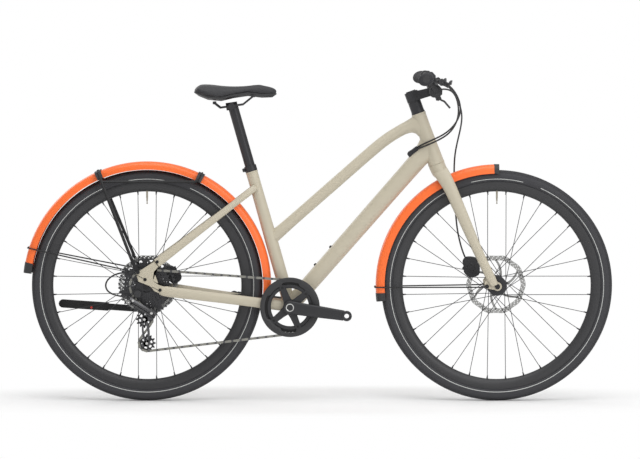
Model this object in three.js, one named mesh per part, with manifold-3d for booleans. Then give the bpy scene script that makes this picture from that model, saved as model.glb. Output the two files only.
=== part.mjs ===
// Step-through bicycle with mudguards, pannier carrier, derailleur gears and disc brakes.
// Millimetres. +X points forward, +Z up, +Y to the rider's left, so the chain side is -Y.
import * as THREE from "three";
import { mergeVertices } from "three/addons/utils/BufferGeometryUtils.js";
import Module from "manifold-3d";

const wasm = await Module();
wasm.setup();

// Layout of the bicycle
const rimOuterRadius = 316.5;
const tyreHeight = 32.5;
const tyreRadius = rimOuterRadius + tyreHeight;
const bracketRoom = 87;
const toeRoom = 275.5;
const chainstayLength = tyreRadius + bracketRoom;
const bracketDrop = 62.5;
const bracketX = Math.sqrt(chainstayLength ** 2 - bracketDrop ** 2);
const wheelbase = bracketX + tyreRadius + toeRoom;
const seatAngle = 74.1;
const headAngle = 70.3;
const forkRake = 48;
const crownRoom = 57.5;
const forkDrop = tyreRadius + crownRoom;
const headTubeLength = 163;
const seatstayRoom = 26;
const seatstayReach = tyreRadius + seatstayRoom;
const seatTubeRise = 49;
const seatTubeLength = seatstayReach + seatTubeRise;

// Clearances
const gap = 0.3;
const overrun = 5;
const roundFacets = 12;
const weld = 0.0005;

// Wheels
const wheelFacets = 28;
const tyreWidth = 40;
const treadWidth = 24;
const tyreWall = 3;
const rimDepth = 32.5;
const rimInnerRadius = rimOuterRadius - rimDepth;
const rimWidth = 25;
const rimNose = 8;
const rimShoulderDrop = 17.5;
const rimHook = 1.7;
const beadSeatDrop = 7.5;
const beadSeatRadius = rimOuterRadius - beadSeatDrop;
const beadThickness = 3;
const spokeCount = 32;
const spokeRadius = 1.15;
const spokeCross = 67.5;
const spokeStaggerShare = 0.55;
const flangeRadius = 30;
const spokeCircleRadius = 27;
const flangeThickness = 5.6;
const hubBarrelRadius = 13;
const axleRadius = 6;
const frontLockedWidth = 100;
const rearLockedWidth = 130;
const frontFlangeOffset = 33;
const discFlangeOffset = 26;
const rearFlangeOffset = 34;
const driveFlangeOffset = 15;
const hubNoseRadius = 10;
const freehubRadius = 14.6;

// Brake rotors
const rotorRadius = 90;
const rotorThickness = 1.8;
const rotorBand = 15;
const rotorWave = 1.6;
const rotorWaves = 10;
const frontRotorPlane = 40;
const rearRotorPlane = 51;
const rotorSpiderRadius = 24;
const rotorArmWidth = 9;
const rotorArms = 5;
const rotorSlotWidth = 4;
const rotorCentreBore = 18;

// Drive train
const chainPitch = 12.7;
const chainringTeeth = 40;
const cassetteTeeth = [42, 36, 32, 28, 25, 22, 19, 17, 15, 13, 11];
const drivenCog = 4;
const pulleyTeeth = 12;
const innermostCogPlane = -23;
const cogSpacing = 3.74;
const cogThickness = 1.6;
const shellWidth = 73;
const chainLineRoom = 9.5;
const chainringPlane = -(shellWidth / 2 + chainLineRoom);
const chainringThickness = 1.8;
const toothHeight = 2.6;
const toothRoot = 4.4;
const toothTipShare = 0.16;
const toothBaseShare = 0.21;
const rollerLength = 5.2;
const plateHeight = 7.4;
const plateThickness = 0.7;
const innerPlateGap = 2.4;
const outerPlateGap = 3.9;
const cassetteDrumShare = 0.93;
const lockRingRadius = 17;
const pulleyBore = 4;
const pulleyHubRadius = 7;
const pulleyThickness = 2;
const guidePulleyX = -8;
const guidePulleyDrop = 97.5;
const cagePivotX = 11;
const cagePivotDrop = 88;
const pulleySpacing = 72.5;
const cageAngle = 269;
const cagePlateGap = 4.2;
const cagePlateThickness = 1.6;
const cageEndRadius = 9;
const crankLength = 172.5;
const crankAngle = 8.3;
const crankThickness = 15;
const crankHubRadius = 20;
const crankEndRadius = 15.5;
const crankWaistShare = 0.62;
const crankFlareShare = 0.06;
const cupLip = 6;
const crankRoom = 12.5;
const crankFace = -(shellWidth / 2 + cupLip + crankRoom);
const pedalHoleRadius = 7.1;
const spindleRadius = 12;
const spiderAngles = [40, 111, 220, 292.5];
const spiderReach = 70;
const spiderWidth = 14;
const spiderGap = 1.1;
const spiderThickness = 5;
const chainringBore = 62;
const spiderPlane = chainringPlane - chainringThickness / 2 - spiderGap;
const chainringTabReach = 10;
const guardRadius = 90;
const guardBore = 69;
const guardThickness = 3;
const guardStepRadius = 73.5;
const guardStep = 2.4;

// The seat tube, the head tube and the tubes between them
const seatTubeTopWidth = 36;
const seatTubeBottomWidth = 38.5;
const seatpostRadius = 15.8;
const shellRadius = 22;
const headTopRadius = 21.2;
const headBottomRadius = 24.6;
const steererRadius = 14.3;
const bearingRadius = 18;
const topTubeDepth = 34;
const topTubeWidth = 32;
const topTubeSeatReach = 210;
const topTubeHeadDrop = 22;
const topTubeHeadReach = headTubeLength - topTubeHeadDrop;
const topTubeBendBehind = 99.3;
const topTubeBendDrop = 50.7;
const downTubeDepth = 53;
const downTubeWidth = 46;
const downTubeHeadReach = 57.5;
const downTubeShares = [
  // along, depth, width
  [0, 0.92, 1],
  [0.3, 0.95, 1],
  [0.85, 1, 1],
  [1, 1.12, 0.85],
];
const headWaistShare = 0.75;
const bearingSeat = 12;
const steererRoom = 0.9;
const cupRadius = 19;
const cupLipRadius = 20.5;
const flareShare = 1.12;
const bossShares = [0.225, 0.335];
const bossHeight = 2;
const bossRadius = 5;
const dropoutThickness = 7;
const insertThickness = 5.7;
const stayDepth = 31;
const stayWidth = 13;
const stayFootX = 40;
const stayFootDrop = 10.5;
// Shares of the stay's length, of its sideways place at the axle, of its depth and of its width
const chainstayShares = [
  [0, 1, 0.7, 0.9],
  [0.06, 0.99, 1, 1],
  [0.35, 0.78, 0.97, 1],
  [0.62, 0.55, 0.97, 1],
  [0.84, 0.465, 1, 1],
  [0.95, 0.44, 1, 1],
];
const yokeFromShare = 0.88;
const yokeDepth = 24;
const seatstayFootX = 31.5;
const seatstayFootZ = 71;
const seatstayWidth = 12;
const seatstayTopDepth = 20;
const seatstayFootDepth = 27;
const seatstayShares = [
  [0.003, 1],
  [0.35, 0.82],
  [0.8, 0.5],
  [0.9, 0.41],
  [1, 0.27],
];
const seatBridgeShare = 0.89;
const seatBridgeRadius = 8;
const clampHeight = 17;
const clampWall = 2.9;
const clampEar = 9;
const clampBoltRadius = 3;
const dropoutReach = 60;
const dropoutShares = [
  [0.4, 1.28],
  [-0.33, 0.8],
  [-0.5, 0.65],
  [-0.38, 0.27],
  [0.13, 0.07],
  [0.27, -0.02],
  [0.4, -0.2],
  [0.68, -0.32],
  [1, -0.4],
  [1, 0],
  [0.62, 0.13],
  [0.4, 0.77],
  [0.63, 1.02],
];
const leftTabShares = [
  [-0.37, 0.3],
  [0.3, 0.3],
  [0.5, -0.1],
  [0.25, -0.22],
  [-0.13, -0.22],
  [-0.37, -0.1],
];
const hangerShares = [
  [-0.43, 0.23],
  [0.12, 0.13],
  [0.27, -0.03],
  [0.25, -0.18],
  [-0.13, -0.2],
  [-0.3, -0.47],
  [-0.53, -0.47],
  [-0.58, -0.27],
  [-0.52, 0],
];

// Fork, stem, handlebar and grips, measured in the steering frame
const forkSpread = 60;
const forkLean = 7;
const forkDepth = 40;
const forkWidth = 24;
const forkShares = [
  // down, ahead, across, depth, width
  [0.05, 0.05, 0.5, 1.15, 1],
  [0.11, 0.16, 0.68, 1.1, 1.05],
  [0.2, 0.28, 0.78, 0.98, 1],
  [0.4, 0.42, 0.86, 0.86, 0.85],
  [0.7, 0.6, 0.94, 0.7, 0.7],
  [0.93, 0.8, 0.98, 0.66, 0.6],
  [0.985, 0.86, 0.98, 0.5, 0.5],
];
const crownDrop = 36;
const crownShares = [
  // down, depth, width, ahead
  [0, 1, 1, 0],
  [0.25, 1, 1.15, 0],
  [0.7, 0.98, 1.55, 0.03],
  [1, 0.86, 1.7, 0.06],
];
const forkEndThickness = 6;
const forkEndRadius = 13;
const eyeletBehind = 30;
const eyeletAbove = 11;
const eyeletRadius = 7;
const eyeletBore = 2.6;
const spacerHeight = 38;
const spacerRadius = 19.5;
const stemClampRadius = 20.5;
const stemHeight = 30;
const stemReach = 68;
const stemWidth = 38;
const barStack = 48;
const barHeight = headTubeLength + barStack;
const capHeight = 3;
const barClampRadius = 21;
const barClampWidth = 44;
const barRadius = 15.9;
const barHalf = 320;
const barSweep = 18;
const barRise = 48;
const barShares = [
  [0, 0, 0],
  [0.1, 0, 0],
  [0.22, 0.02, 0.3],
  [0.34, 0.08, 0.78],
  [0.45, 0.2, 0.92],
  [1, 1, 1],
];
const gripInnerShare = 0.58;
const gripRadius = 17;
const gripWing = 14;
const gripShares = [
  // along, wing, radius
  [0, 0, 1.12],
  [0.06, 0, 1.12],
  [0.1, 0, 1],
  [0.5, 0.25, 1],
  [0.8, 1, 1.02],
  [0.97, 1, 1],
  [1.02, 0.8, 0.85],
];
// Mudguards
const rearGuardRoom = 26;
const frontGuardRoom = 17;
const rearGuardRadius = tyreRadius + rearGuardRoom;
const frontGuardRadius = tyreRadius + frontGuardRoom;
const guardWidth = 54;
const guardWall = 2.2;
const rearGuardSkirt = 24;
const frontGuardSkirt = 27;
const guardShares = [
  // skirt depth, half width, wall on the inner side
  [1, 1],
  [0.4, 0.93],
  [0.06, 0.5],
  [0.06, -0.5],
  [0.4, -0.93],
  [1, -1],
];
const rearGuardFromAngle = -8;
const rearGuardToAngle = 174;
const frontGuardFromAngle = 89;
const frontGuardToAngle = 187.6;
const guardStepAngle = 11;
const guardTabRadius = 7;
const crownTabLength = 16;
const wireRadius = 2.2;
const rearStayAngle = 162.3;
const stayEyeX = -25;
const stayEyeZ = 45;
const stayEyeRadius = 6.5;
const stayEyeThickness = 4;

// Pannier carrier
const carrierTube = 5.2;
const carrierHalf = 45;
const strapAngles = [113.2, 63.9];
const strapShares = [
  // radius, sideways
  [0.94, 1],
  [0.985, 0.88],
  [1, 0.6],
];
const carrierRailDrop = 60;
const carrierRailX = [-133, 143];
const carrierKnee = [-44, 85];

// Kickstand on the left chainstay
const standPivotX = 20;
const standPivotZ = -81;
const standPinRadius = 5;
const standBlockInner = 67.5;
const standBlockOuter = 80.5;
const standBlockWidth = 46;
const standBlockHeight = 66;
const standThickness = 9;
const standBossRadius = 11.5;
const standReach = 282;
const standRise = 4;
const standDepth = 19;
const standFootDepth = 25;
const standFootShare = 0.51;
const standHoleShares = [0.6, 0.66, 0.72, 0.78];
const standHoleRadius = 3;

// Calipers
const caliperShares = [
  [-0.5, 0.1],
  [-0.2, 0.5],
  [0.3, 0.42],
  [0.5, 0.05],
  [0.38, -0.4],
  [-0.1, -0.5],
  [-0.42, -0.35],
];
const caliperLength = 66;
const caliperHeight = 46;
const caliperHalf = 13.5;
const caliperSlot = 1.7;
const caliperBossShare = 1.02;
const rearCaliperX = 74;
const rearCaliperZ = 31;
const rearCaliperAngle = -38;
const frontCaliperX = -5;
const frontCaliperRise = 76.5;
const frontCaliperZ = frontCaliperRise - forkDrop;
const frontCaliperAngle = 95;
// Brake levers and shifter, as offsets from the bar's middle line
const leverShare = 0.52;
const clampHalfShare = 0.035;
const clampRingRadius = 20;
const masterAhead = 30;
const masterDrop = 24;
const masterRadius = 11;
const masterFromShare = 0.431;
const masterToShare = 0.634;
const leverPivotAhead = 40;
const leverPivotDrop = 36;
const leverAngle = 41;
const lugRadius = 8.5;
const lugThickness = 6;
const leverPinRadius = 2.6;
const bladeShares = [
  // across, ahead, down
  [0, 0, 0],
  [0.25, 0.1, 0.04],
  [0.6, 0.14, -0.06],
  [1, 0.06, -0.02],
];
const bladeReach = 84;
const bladeRadius = 5.5;
const shifterAhead = 6;
const shifterDrop = 45;
const shifterFromShare = 0.3625;
const shifterToShare = 0.469;
const shifterRadius = 20;
const shiftPinRadius = 3;
const shiftArm = [22, 16, 36];
const shiftArmRadius = 5;

// Rear derailleur
const hangerBoltX = -25;
const hangerBoltZ = -20;
const knuckleRadius = 11;
const knuckleInner = 71;
const knuckleOuter = 88;
const upperPivot = [-45, -88, -40.5];
const lowerPivot = [20.4, -82, -81];
const linkOffset = 15;
const linkThickness = 7;
const linkRadius = 5;
const linkPinRadius = 2.4;
const linkHeadRadius = 4;
const lugDepth = 6;
const cageBossRadius = 10.5;
const cageBossOuter = 57;
const cageStubRadius = 5;
const cageStubLength = 9.5;
const linkSwing = 26;
const pulleyBoltRadius = 3.4;

// Seatpost and saddle
const seatpostTop = 188;
const seatpostInsert = 100;
const seatpostHeadWidth = 36;
const seatpostHeadRadius = 13;
const railRadius = 3.5;
const railHalf = 22;
// The rails and the saddle, measured from the top of the seatpost
const railX = [62, 31, -37, -55];
const railZ = [29.3, 4.3, -5.7, 8.3];
const saddleStations = [
  // x, top, bottom, half width
  [132, 44.3, 34.3, 5],
  [119, 56.3, 25.3, 15],
  [87, 63.3, 24.3, 22],
  [46, 59.3, 29.3, 28],
  [4, 57.3, 23.3, 42],
  [-34, 59.3, 14.3, 58],
  [-74, 63.3, 18.3, 70],
  [-101, 62.3, 29.3, 68],
  [-115, 49.3, 39.3, 52],
];
const saddleShell = 12;
const saddleCrownShares = [
  // sideways, height of the upper side, from 0 at the edge to 1 on the middle line
  [1, 0],
  [0.99, 0.3],
  [0.88, 0.68],
  [0.6, 0.94],
  [0.25, 1],
];
const saddleChannel = 2.5;
const saddleMountRise = 8;

// Hoses and housing
const hoseRadius = 2.5;
const hoseSides = 6;
const hoseSteps = 13;
const hoseLead = 14;
const bootRadius = 9;
const bootShares = [
  [0, 1],
  [0.3, 0.95],
  [0.34, 0.75],
  [0.45, 0.75],
  [0.5, 0.9],
  [0.62, 0.9],
  [0.66, 0.68],
  [0.76, 0.68],
  [0.8, 0.8],
  [1, 0.7],
];
const bootLength = 26;
const barrelLength = 16;
const barrelRadius = 3.6;
// Hose routes from the head tube's foot, as shares of the wheelbase: ahead, left, up
const frontHoseShares = [
  [0.039, 0.1061, 0.2202],
  [0.0674, 0.0805, 0.1795],
  [0.0769, 0.0568, 0.1425],
  [0.0722, 0.0455, 0.1122],
  [0.058, 0.0417, 0.0658],
  [0.0515, 0.0445, 0.0251],
  [0.0543, 0.0597, -0.0327],
  [0.055, 0.0653, -0.1094],
  [0.0611, 0.0644, -0.1852],
];
const brakeHoseShares = [
  [0.035, -0.1184, 0.2286],
  [0.0608, -0.1089, 0.1823],
  [0.0693, -0.09, 0.1643],
  [0.0646, -0.071, 0.1425],
  [0.0523, -0.0549, 0.1179],
  [0.0305, -0.0436, 0.0933],
  [0.0012, -0.036, 0.0762],
  [-0.0272, -0.0303, 0.0658],
  [-0.0462, -0.0246, 0.0582],
];
const shiftHoseShares = [
  [0.041, -0.1212, 0.1862],
  [0.06, -0.107, 0.16],
  [0.0635, -0.088, 0.137],
  [0.0504, -0.0625, 0.1084],
  [0.0305, -0.0492, 0.0857],
  [0.0012, -0.0416, 0.0686],
  [-0.0272, -0.0365, 0.0582],
  [-0.0462, -0.0246, 0.0502],
];
const bootAlongShare = 0.885;
// The housing's loop behind the right dropout, from the axle, as shares of the dropout's reach
const loopShares = [
  [-0.52, -1.25, 0.65],
  [-0.86, -1.26, 0.74],
  [-1.3, -1.3, 0.73],
  [-1.85, -1.36, 0.5],
  [-2.1, -1.4, 0.12],
  [-1.92, -1.36, -0.28],
  [-1.5, -1.25, -0.42],
];
const axleHeadRadius = 8;
const axleHeadHeight = 4;

const rad = THREE.MathUtils.degToRad;
const yAxis = new THREE.Vector3(0, 1, 0);
const zAxis = new THREE.Vector3(0, 0, 1);
const at = (x, y, z) => new THREE.Vector3(x, y, z);
// The corner radius of a bore whose flats clear a shaft that turns in it.
const runningBore = (radius) => (radius + gap) / Math.cos(Math.PI / roundFacets);

// A closed mesh as a solid: seams merged, slivers left out, faces turned outwards.
function solid(geometry) {
  const bare = geometry.clone();
  bare.deleteAttribute("normal");
  bare.deleteAttribute("uv");
  const merged = mergeVertices(bare, weld);
  const spots = merged.attributes.position.array;
  const corners = merged.index.array;
  const faces = [];
  let volume = 0;
  for (let i = 0; i < corners.length; i += 3) {
    const [a, b, c] = corners.slice(i, i + 3);
    if (a === b || b === c || c === a) continue;
    faces.push(a, b, c);
    const [p, q, r] = [a, b, c].map((v) => at(...spots.slice(3 * v, 3 * v + 3)));
    volume += p.dot(q.cross(r));
  }
  if (volume < 0) faces.reverse();
  const mesh = new wasm.Mesh({
    numProp: 3,
    vertProperties: new Float32Array(spots),
    triVerts: new Uint32Array(faces),
  });
  return new wasm.Manifold(mesh);
}

// The geometry of a solid, for its mesh.
function skin(body) {
  const mesh = body.getMesh();
  const geometry = new THREE.BufferGeometry();
  geometry.setAttribute("position", new THREE.BufferAttribute(mesh.vertProperties, 3));
  geometry.setIndex(new THREE.BufferAttribute(mesh.triVerts, 1));
  geometry.computeVertexNormals();
  return geometry;
}

const joined = (...bodies) => bodies.flat().reduce((whole, body) => whole.add(body));
const cutBy = (body, ...tools) => tools.flat().reduce((rest, tool) => rest.subtract(tool), body);

function piece(parent, name, body, finish) {
  const mesh = new THREE.Mesh(skin(body), finish);
  mesh.name = name;
  parent.add(mesh);
}

// A ring of points around a centre, on two half axes.
function oval(centre, side, lift, sides, start = 0) {
  return Array.from({ length: sides }, (_, i) => {
    const angle = start + (2 * Math.PI * i) / sides;
    return centre.clone().addScaledVector(side, Math.cos(angle)).addScaledVector(lift, Math.sin(angle));
  });
}

// A closed skin over a row of rings with as many points each, flat at both ends, or one endless band.
function loft(rings, endless = false) {
  const count = rings[0].length;
  const faces = [];
  const spans = endless ? rings.length : rings.length - 1;
  for (let r = 0; r < spans; r++) {
    const here = r * count;
    const next = ((r + 1) % rings.length) * count;
    for (let i = 0; i < count; i++) {
      const j = (i + 1) % count;
      faces.push(here + i, here + j, next + j, here + i, next + j, next + i);
    }
  }
  const last = (rings.length - 1) * count;
  for (let i = 1; !endless && i + 1 < count; i++) {
    faces.push(0, i + 1, i, last, last + i, last + i + 1);
  }
  const geometry = new THREE.BufferGeometry().setFromPoints(rings.flat());
  geometry.setIndex(faces);
  return solid(geometry);
}

// A round rod through a row of points, mitred at its bends.
function rod(points, radius, sides = 8, flat = 1) {
  let side = null;
  const rings = points.map((point, i) => {
    const to = points[Math.min(i + 1, points.length - 1)];
    const from = points[Math.max(i - 1, 0)];
    const ahead = i + 1 < points.length ? to.clone().sub(point).normalize() : at(0, 0, 0);
    const behind = i > 0 ? point.clone().sub(from).normalize() : at(0, 0, 0);
    const along = ahead.add(behind).normalize();
    side ??= Math.abs(along.y) > Math.SQRT1_2 ? at(1, 0, 0) : yAxis.clone();
    side = side.clone().projectOnPlane(along).normalize();
    const lift = along.clone().cross(side);
    return oval(point, side.clone().multiplyScalar(radius), lift.multiplyScalar(radius * flat), sides);
  });
  return loft(rings);
}

const curved = (points, steps) => new THREE.CatmullRomCurve3(points, false, "centripetal").getPoints(steps);

// A solid of revolution about Y from [radius, y] points; profiles off the axis close on themselves.
function turned(profile, facets = 12, start = 0) {
  const onAxis = profile[0][0] === 0;
  const points = profile.map(([r, y]) => new THREE.Vector2(r, y));
  if (!onAxis) points.push(points[0].clone());
  return solid(new THREE.LatheGeometry(points, facets, start));
}

// A disc or drum about Y, between two planes.
const drum = (radius, y0, y1, facets = 12) => turned([[0, y0], [radius, y0], [radius, y1], [0, y1]], facets);

// A tube about Y with an open bore.
function collar(radius, bore, y0, y1, facets = 12) {
  return turned([[bore, y0], [radius, y0], [radius, y1], [bore, y1]], facets);
}

// A plate parallel to the XZ plane from y0 to y1, its outline and holes drawn as x, z.
function plate(outline, y0, y1, holes = []) {
  const shape = new THREE.Shape(outline.map(([x, z]) => new THREE.Vector2(x, z)));
  for (const hole of holes) shape.holes.push(new THREE.Path(hole.map(([x, z]) => new THREE.Vector2(x, z))));
  const geometry = new THREE.ExtrudeGeometry(shape, { depth: y1 - y0, bevelEnabled: false });
  geometry.rotateX(Math.PI / 2);
  geometry.translate(0, y1, 0);
  return solid(geometry);
}

// Points of a circle or an arc, as [x, z].
function arc(x, z, radius, from = 0, to = 360, steps = 12) {
  const full = Math.abs(to - from) >= 360;
  return Array.from({ length: full ? steps : steps + 1 }, (_, i) => {
    const angle = rad(from + ((to - from) * i) / steps);
    return [x + radius * Math.cos(angle), z + radius * Math.sin(angle)];
  });
}

function moved(body, x, y, z) {
  const geometry = skin(body);
  geometry.translate(x, y, z);
  return solid(geometry);
}

// A body turned about an axis through the origin, by degrees.
function spun(body, axis, degrees) {
  const geometry = skin(body);
  geometry.applyMatrix4(new THREE.Matrix4().makeRotationAxis(axis, rad(degrees)));
  return solid(geometry);
}

const finish = (color, roughness, metalness = 0) =>
  new THREE.MeshStandardMaterial({ color, roughness, metalness });
const sandPaint = finish(0xbeb6a2, 0.55);
const orangePlastic = finish(0xff6b2c, 0.45);
const blackPlastic = finish(0x2b2b2c, 0.6);
const blackAlloy = finish(0x303032, 0.45, 0.6);
const darkRubber = finish(0x444444, 0.85);
const greySteel = finish(0x8d8b84, 0.35, 0.9);
const blackSteel = finish(0x35352f, 0.4, 0.8);

const bike = new THREE.Group();
const rearAxleHeight = tyreRadius;

// Tyre and rim are turned in step with each other, a flat of the tyre at the bottom.
function tyre() {
  const facetStart = Math.PI / wheelFacets;
  const shrink = 1 / Math.cos(facetStart);
  const halfBead = rimWidth / 2 - rimHook - gap;
  const crown = tyreRadius - rimOuterRadius;
  const outside = [
    [beadSeatRadius + gap, halfBead],
    [rimOuterRadius + gap, halfBead],
    [rimOuterRadius + crown * 0.44, tyreWidth / 2],
    [rimOuterRadius + crown * 0.8, tyreWidth * 0.4],
    [tyreRadius, treadWidth / 2],
  ];
  const inside = [
    [beadSeatRadius + gap, halfBead - beadThickness],
    [tyreRadius - crown * 0.4, tyreWidth / 2 - tyreWall * 2],
  ];
  const mirror = ([r, y]) => [r, -y];
  const profile = [
    ...outside,
    ...outside.map(mirror).reverse(),
    ...inside.map(mirror),
    ...inside.reverse(),
  ];
  return turned(profile.map(([r, y]) => [r * shrink, y]), wheelFacets, facetStart);
}

function rim() {
  const facetStart = Math.PI / wheelFacets;
  const shrink = 1 / Math.cos(facetStart);
  const half = rimWidth / 2;
  const side = [
    [rimInnerRadius, rimNose / 2],
    [rimOuterRadius - rimShoulderDrop, half],
    [rimOuterRadius, half],
    [rimOuterRadius, half - rimHook],
    [beadSeatRadius, half - rimHook],
  ];
  const profile = [...side, ...side.map(([r, y]) => [r, -y]).reverse()];
  return turned(profile.map(([r, y]) => [r * shrink, y]), wheelFacets, facetStart);
}

// One three-sided spoke from its hole in the flange to just short of the rim.
function spoke(rimAngle, hubAngle, flangeY, rimY) {
  const from = at(spokeCircleRadius * Math.cos(hubAngle), flangeY, spokeCircleRadius * Math.sin(hubAngle));
  const reach = rimInnerRadius - gap;
  const to = at(reach * Math.cos(rimAngle), rimY, reach * Math.sin(rimAngle));
  return rod([from, to], spokeRadius, 3);
}

// A hub shell with two flanges and crossed spokes: every other hole leads forward, the rest back.
// Its left end carries the brake rotor, its right end may be a freehub body.
function hub(ends, turnShare) {
  const bore = axleRadius + gap;
  const half = flangeThickness / 2;
  const { leftFlange, rightFlange, leftEnd, rightEnd, rightRadius, rotorY } = ends;
  const seat = rotorY - rotorThickness / 2 - gap;
  const shell = turned([
    [bore, -rightEnd],
    [rightRadius, -rightEnd],
    [rightRadius, -rightFlange - half],
    [flangeRadius, -rightFlange - half],
    [flangeRadius, -rightFlange + half],
    [hubBarrelRadius, -rightFlange + half * 3],
    [hubBarrelRadius, leftFlange - half * 3],
    [flangeRadius, leftFlange - half],
    [flangeRadius, leftFlange + half],
    [rotorSpiderRadius - gap, leftFlange + half],
    [rotorSpiderRadius - gap, seat],
    [rotorCentreBore - gap, seat],
    [rotorCentreBore - gap, rotorY + rotorThickness],
    [hubNoseRadius, rotorY + rotorThickness],
    [hubNoseRadius, leftEnd],
    [bore, leftEnd],
  ]);
  const spokes = [];
  for (let i = 0; i < spokeCount; i++) {
    const left = i % 2 === 0;
    const forward = i % 4 < 2;
    const rimAngle = (2 * Math.PI * (i + turnShare)) / spokeCount;
    const hubAngle = rimAngle + rad(forward ? spokeCross : -spokeCross);
    const stagger = (forward ? half : -half) * spokeStaggerShare;
    const flangeY = (left ? leftFlange : -rightFlange) + stagger;
    spokes.push(spoke(rimAngle, hubAngle, flangeY, stagger));
  }
  return joined(shell, spokes);
}

// A disc with a wavy brake band, curved arms and a spider with a centre bore.
function rotor(rotorPlane, turnedBy) {
  const outline = Array.from({ length: rotorWaves * 3 }, (_, i) => {
    const angle = (2 * Math.PI * i) / (rotorWaves * 3);
    const radius = rotorRadius - rotorWave + rotorWave * Math.cos(angle * rotorWaves);
    return [radius * Math.cos(angle), radius * Math.sin(angle)];
  });
  const y0 = rotorPlane - rotorThickness / 2;
  const y1 = rotorPlane + rotorThickness / 2;
  const inner = rotorRadius - rotorBand;
  const band = plate(outline, y0, y1, [arc(0, 0, inner, 0, 360, 20)]);
  const slots = [];
  const arms = [];
  const middle = rotorRadius - rotorBand / 2;
  for (let i = 0; i < rotorWaves; i++) {
    const angle = (360 / rotorWaves) * i;
    const spot = [middle, 0];
    const slot = [
      [spot[0] - rotorBand / 4, -rotorSlotWidth / 2],
      [spot[0] + rotorBand / 5, 0],
      [spot[0] - rotorBand / 4, rotorSlotWidth / 2],
    ];
    slots.push(spun(plate(slot, y0 - overrun, y1 + overrun), yAxis, angle));
  }
  for (let i = 0; i < rotorArms; i++) {
    const half = rotorArmWidth / 2;
    const root = rotorSpiderRadius - rotorArmWidth / 2;
    const tip = inner + rotorBand / 5;
    const lean = rotorArmWidth * 2;
    const arm = plate([[root, -half], [tip, lean - half], [tip, lean + half], [root, half]], y0, y1);
    arms.push(spun(arm, yAxis, (360 / rotorArms) * i + turnedBy));
  }
  const spider = collar(rotorSpiderRadius, rotorCentreBore, y0, y1);
  return cutBy(joined(band, spider, arms), slots);
}

function wheelGroup(x, name) {
  const group = new THREE.Group();
  group.position.set(x, 0, rearAxleHeight);
  bike.add(group);
  piece(group, `${name}_tyre`, tyre(), darkRubber);
  piece(group, `${name}_rim`, rim(), blackAlloy);
  return group;
}

// Wheels
const frontHalf = frontLockedWidth / 2;
const rearHalf = rearLockedWidth / 2;
const frontEnds = {
  leftFlange: discFlangeOffset,
  rightFlange: frontFlangeOffset,
  leftEnd: frontHalf - gap,
  rightEnd: frontHalf - gap,
  rightRadius: hubNoseRadius,
  rotorY: frontRotorPlane,
};
const rearEnds = {
  leftFlange: rearFlangeOffset,
  rightFlange: driveFlangeOffset,
  leftEnd: rearHalf - gap,
  rightEnd: rearHalf - gap,
  rightRadius: freehubRadius,
  rotorY: rearRotorPlane,
};
const frontWheel = wheelGroup(wheelbase, "front");
piece(frontWheel, "front_hub", hub(frontEnds, 0.5), blackAlloy);
piece(frontWheel, "front_rotor", rotor(frontRotorPlane, 0), greySteel);
const rearWheel = wheelGroup(0, "rear");
piece(rearWheel, "rear_hub", hub(rearEnds, 0.5), blackAlloy);
piece(rearWheel, "rear_rotor", rotor(rearRotorPlane, 12), greySteel);

// Sprocket and chain geometry. Every sprocket is a circle in the bicycle's side plane.
const seatDirection = at(-Math.cos(rad(seatAngle)), 0, Math.sin(rad(seatAngle)));
const bracketZ = rearAxleHeight - bracketDrop;
const pitchRadius = (teeth) => chainPitch / (2 * Math.sin(Math.PI / teeth));
const cogPlane = (i) => innermostCogPlane - cogSpacing * i;
const chainPlane = cogPlane(drivenCog);
const guidePulleyZ = rearAxleHeight - guidePulleyDrop;
const cagePivotZ = rearAxleHeight - cagePivotDrop;

function pulleyCentres(cageTurn) {
  const pivot = at(cagePivotX, 0, cagePivotZ);
  const guide = at(guidePulleyX, 0, guidePulleyZ);
  const tension = guide.clone();
  tension.x += pulleySpacing * Math.cos(rad(cageAngle));
  tension.z += pulleySpacing * Math.sin(rad(cageAngle));
  return [guide, tension].map((c) => c.sub(pivot).applyAxisAngle(yAxis, rad(cageTurn)).add(pivot));
}

// The straight run from one sprocket to the next. side is 1 where the chain turns clockwise.
function tangent(a, b) {
  const across = b.centre.clone().sub(a.centre);
  const bearing = Math.atan2(across.z, across.x);
  const lift = (b.side * b.radius - a.side * a.radius) / across.length();
  const heading = bearing + Math.asin(lift);
  const right = at(Math.sin(heading), 0, -Math.cos(heading));
  const from = a.centre.clone().addScaledVector(right, -a.side * a.radius);
  const to = b.centre.clone().addScaledVector(right, -b.side * b.radius);
  return { from, to };
}

// The chain's course as straight runs and wraps, each measured in links.
function chainCourse(cageTurn) {
  const [guide, tension] = pulleyCentres(cageTurn);
  const loop = [
    { centre: at(0, 0, rearAxleHeight), teeth: cassetteTeeth[drivenCog], side: 1, y: chainPlane },
    { centre: at(bracketX, 0, bracketZ), teeth: chainringTeeth, side: 1, y: chainringPlane },
    { centre: tension, teeth: pulleyTeeth, side: 1, y: chainPlane },
    { centre: guide, teeth: pulleyTeeth, side: -1, y: chainPlane },
  ].map((c) => ({ ...c, radius: pitchRadius(c.teeth) }));
  const runs = loop.map((c, i) => tangent(c, loop[(i + 1) % loop.length]));
  const course = [];
  let links = 0;
  loop.forEach((circle, i) => {
    const run = runs[i];
    const next = loop[(i + 1) % loop.length];
    const length = run.to.distanceTo(run.from) / chainPitch;
    course.push({ start: links, length, run, y0: circle.y, y1: next.y });
    links += length;
    const angleOf = (p) => Math.atan2(p.z - next.centre.z, p.x - next.centre.x);
    const first = angleOf(run.to);
    const full = 2 * Math.PI;
    const sweep = (((first - angleOf(runs[(i + 1) % loop.length].from)) * next.side) % full + full) % full;
    course.push({ start: links, length: (sweep * next.teeth) / full, circle: next, first });
    links += (sweep * next.teeth) / full;
  });
  return { course, links, loop };
}

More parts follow.
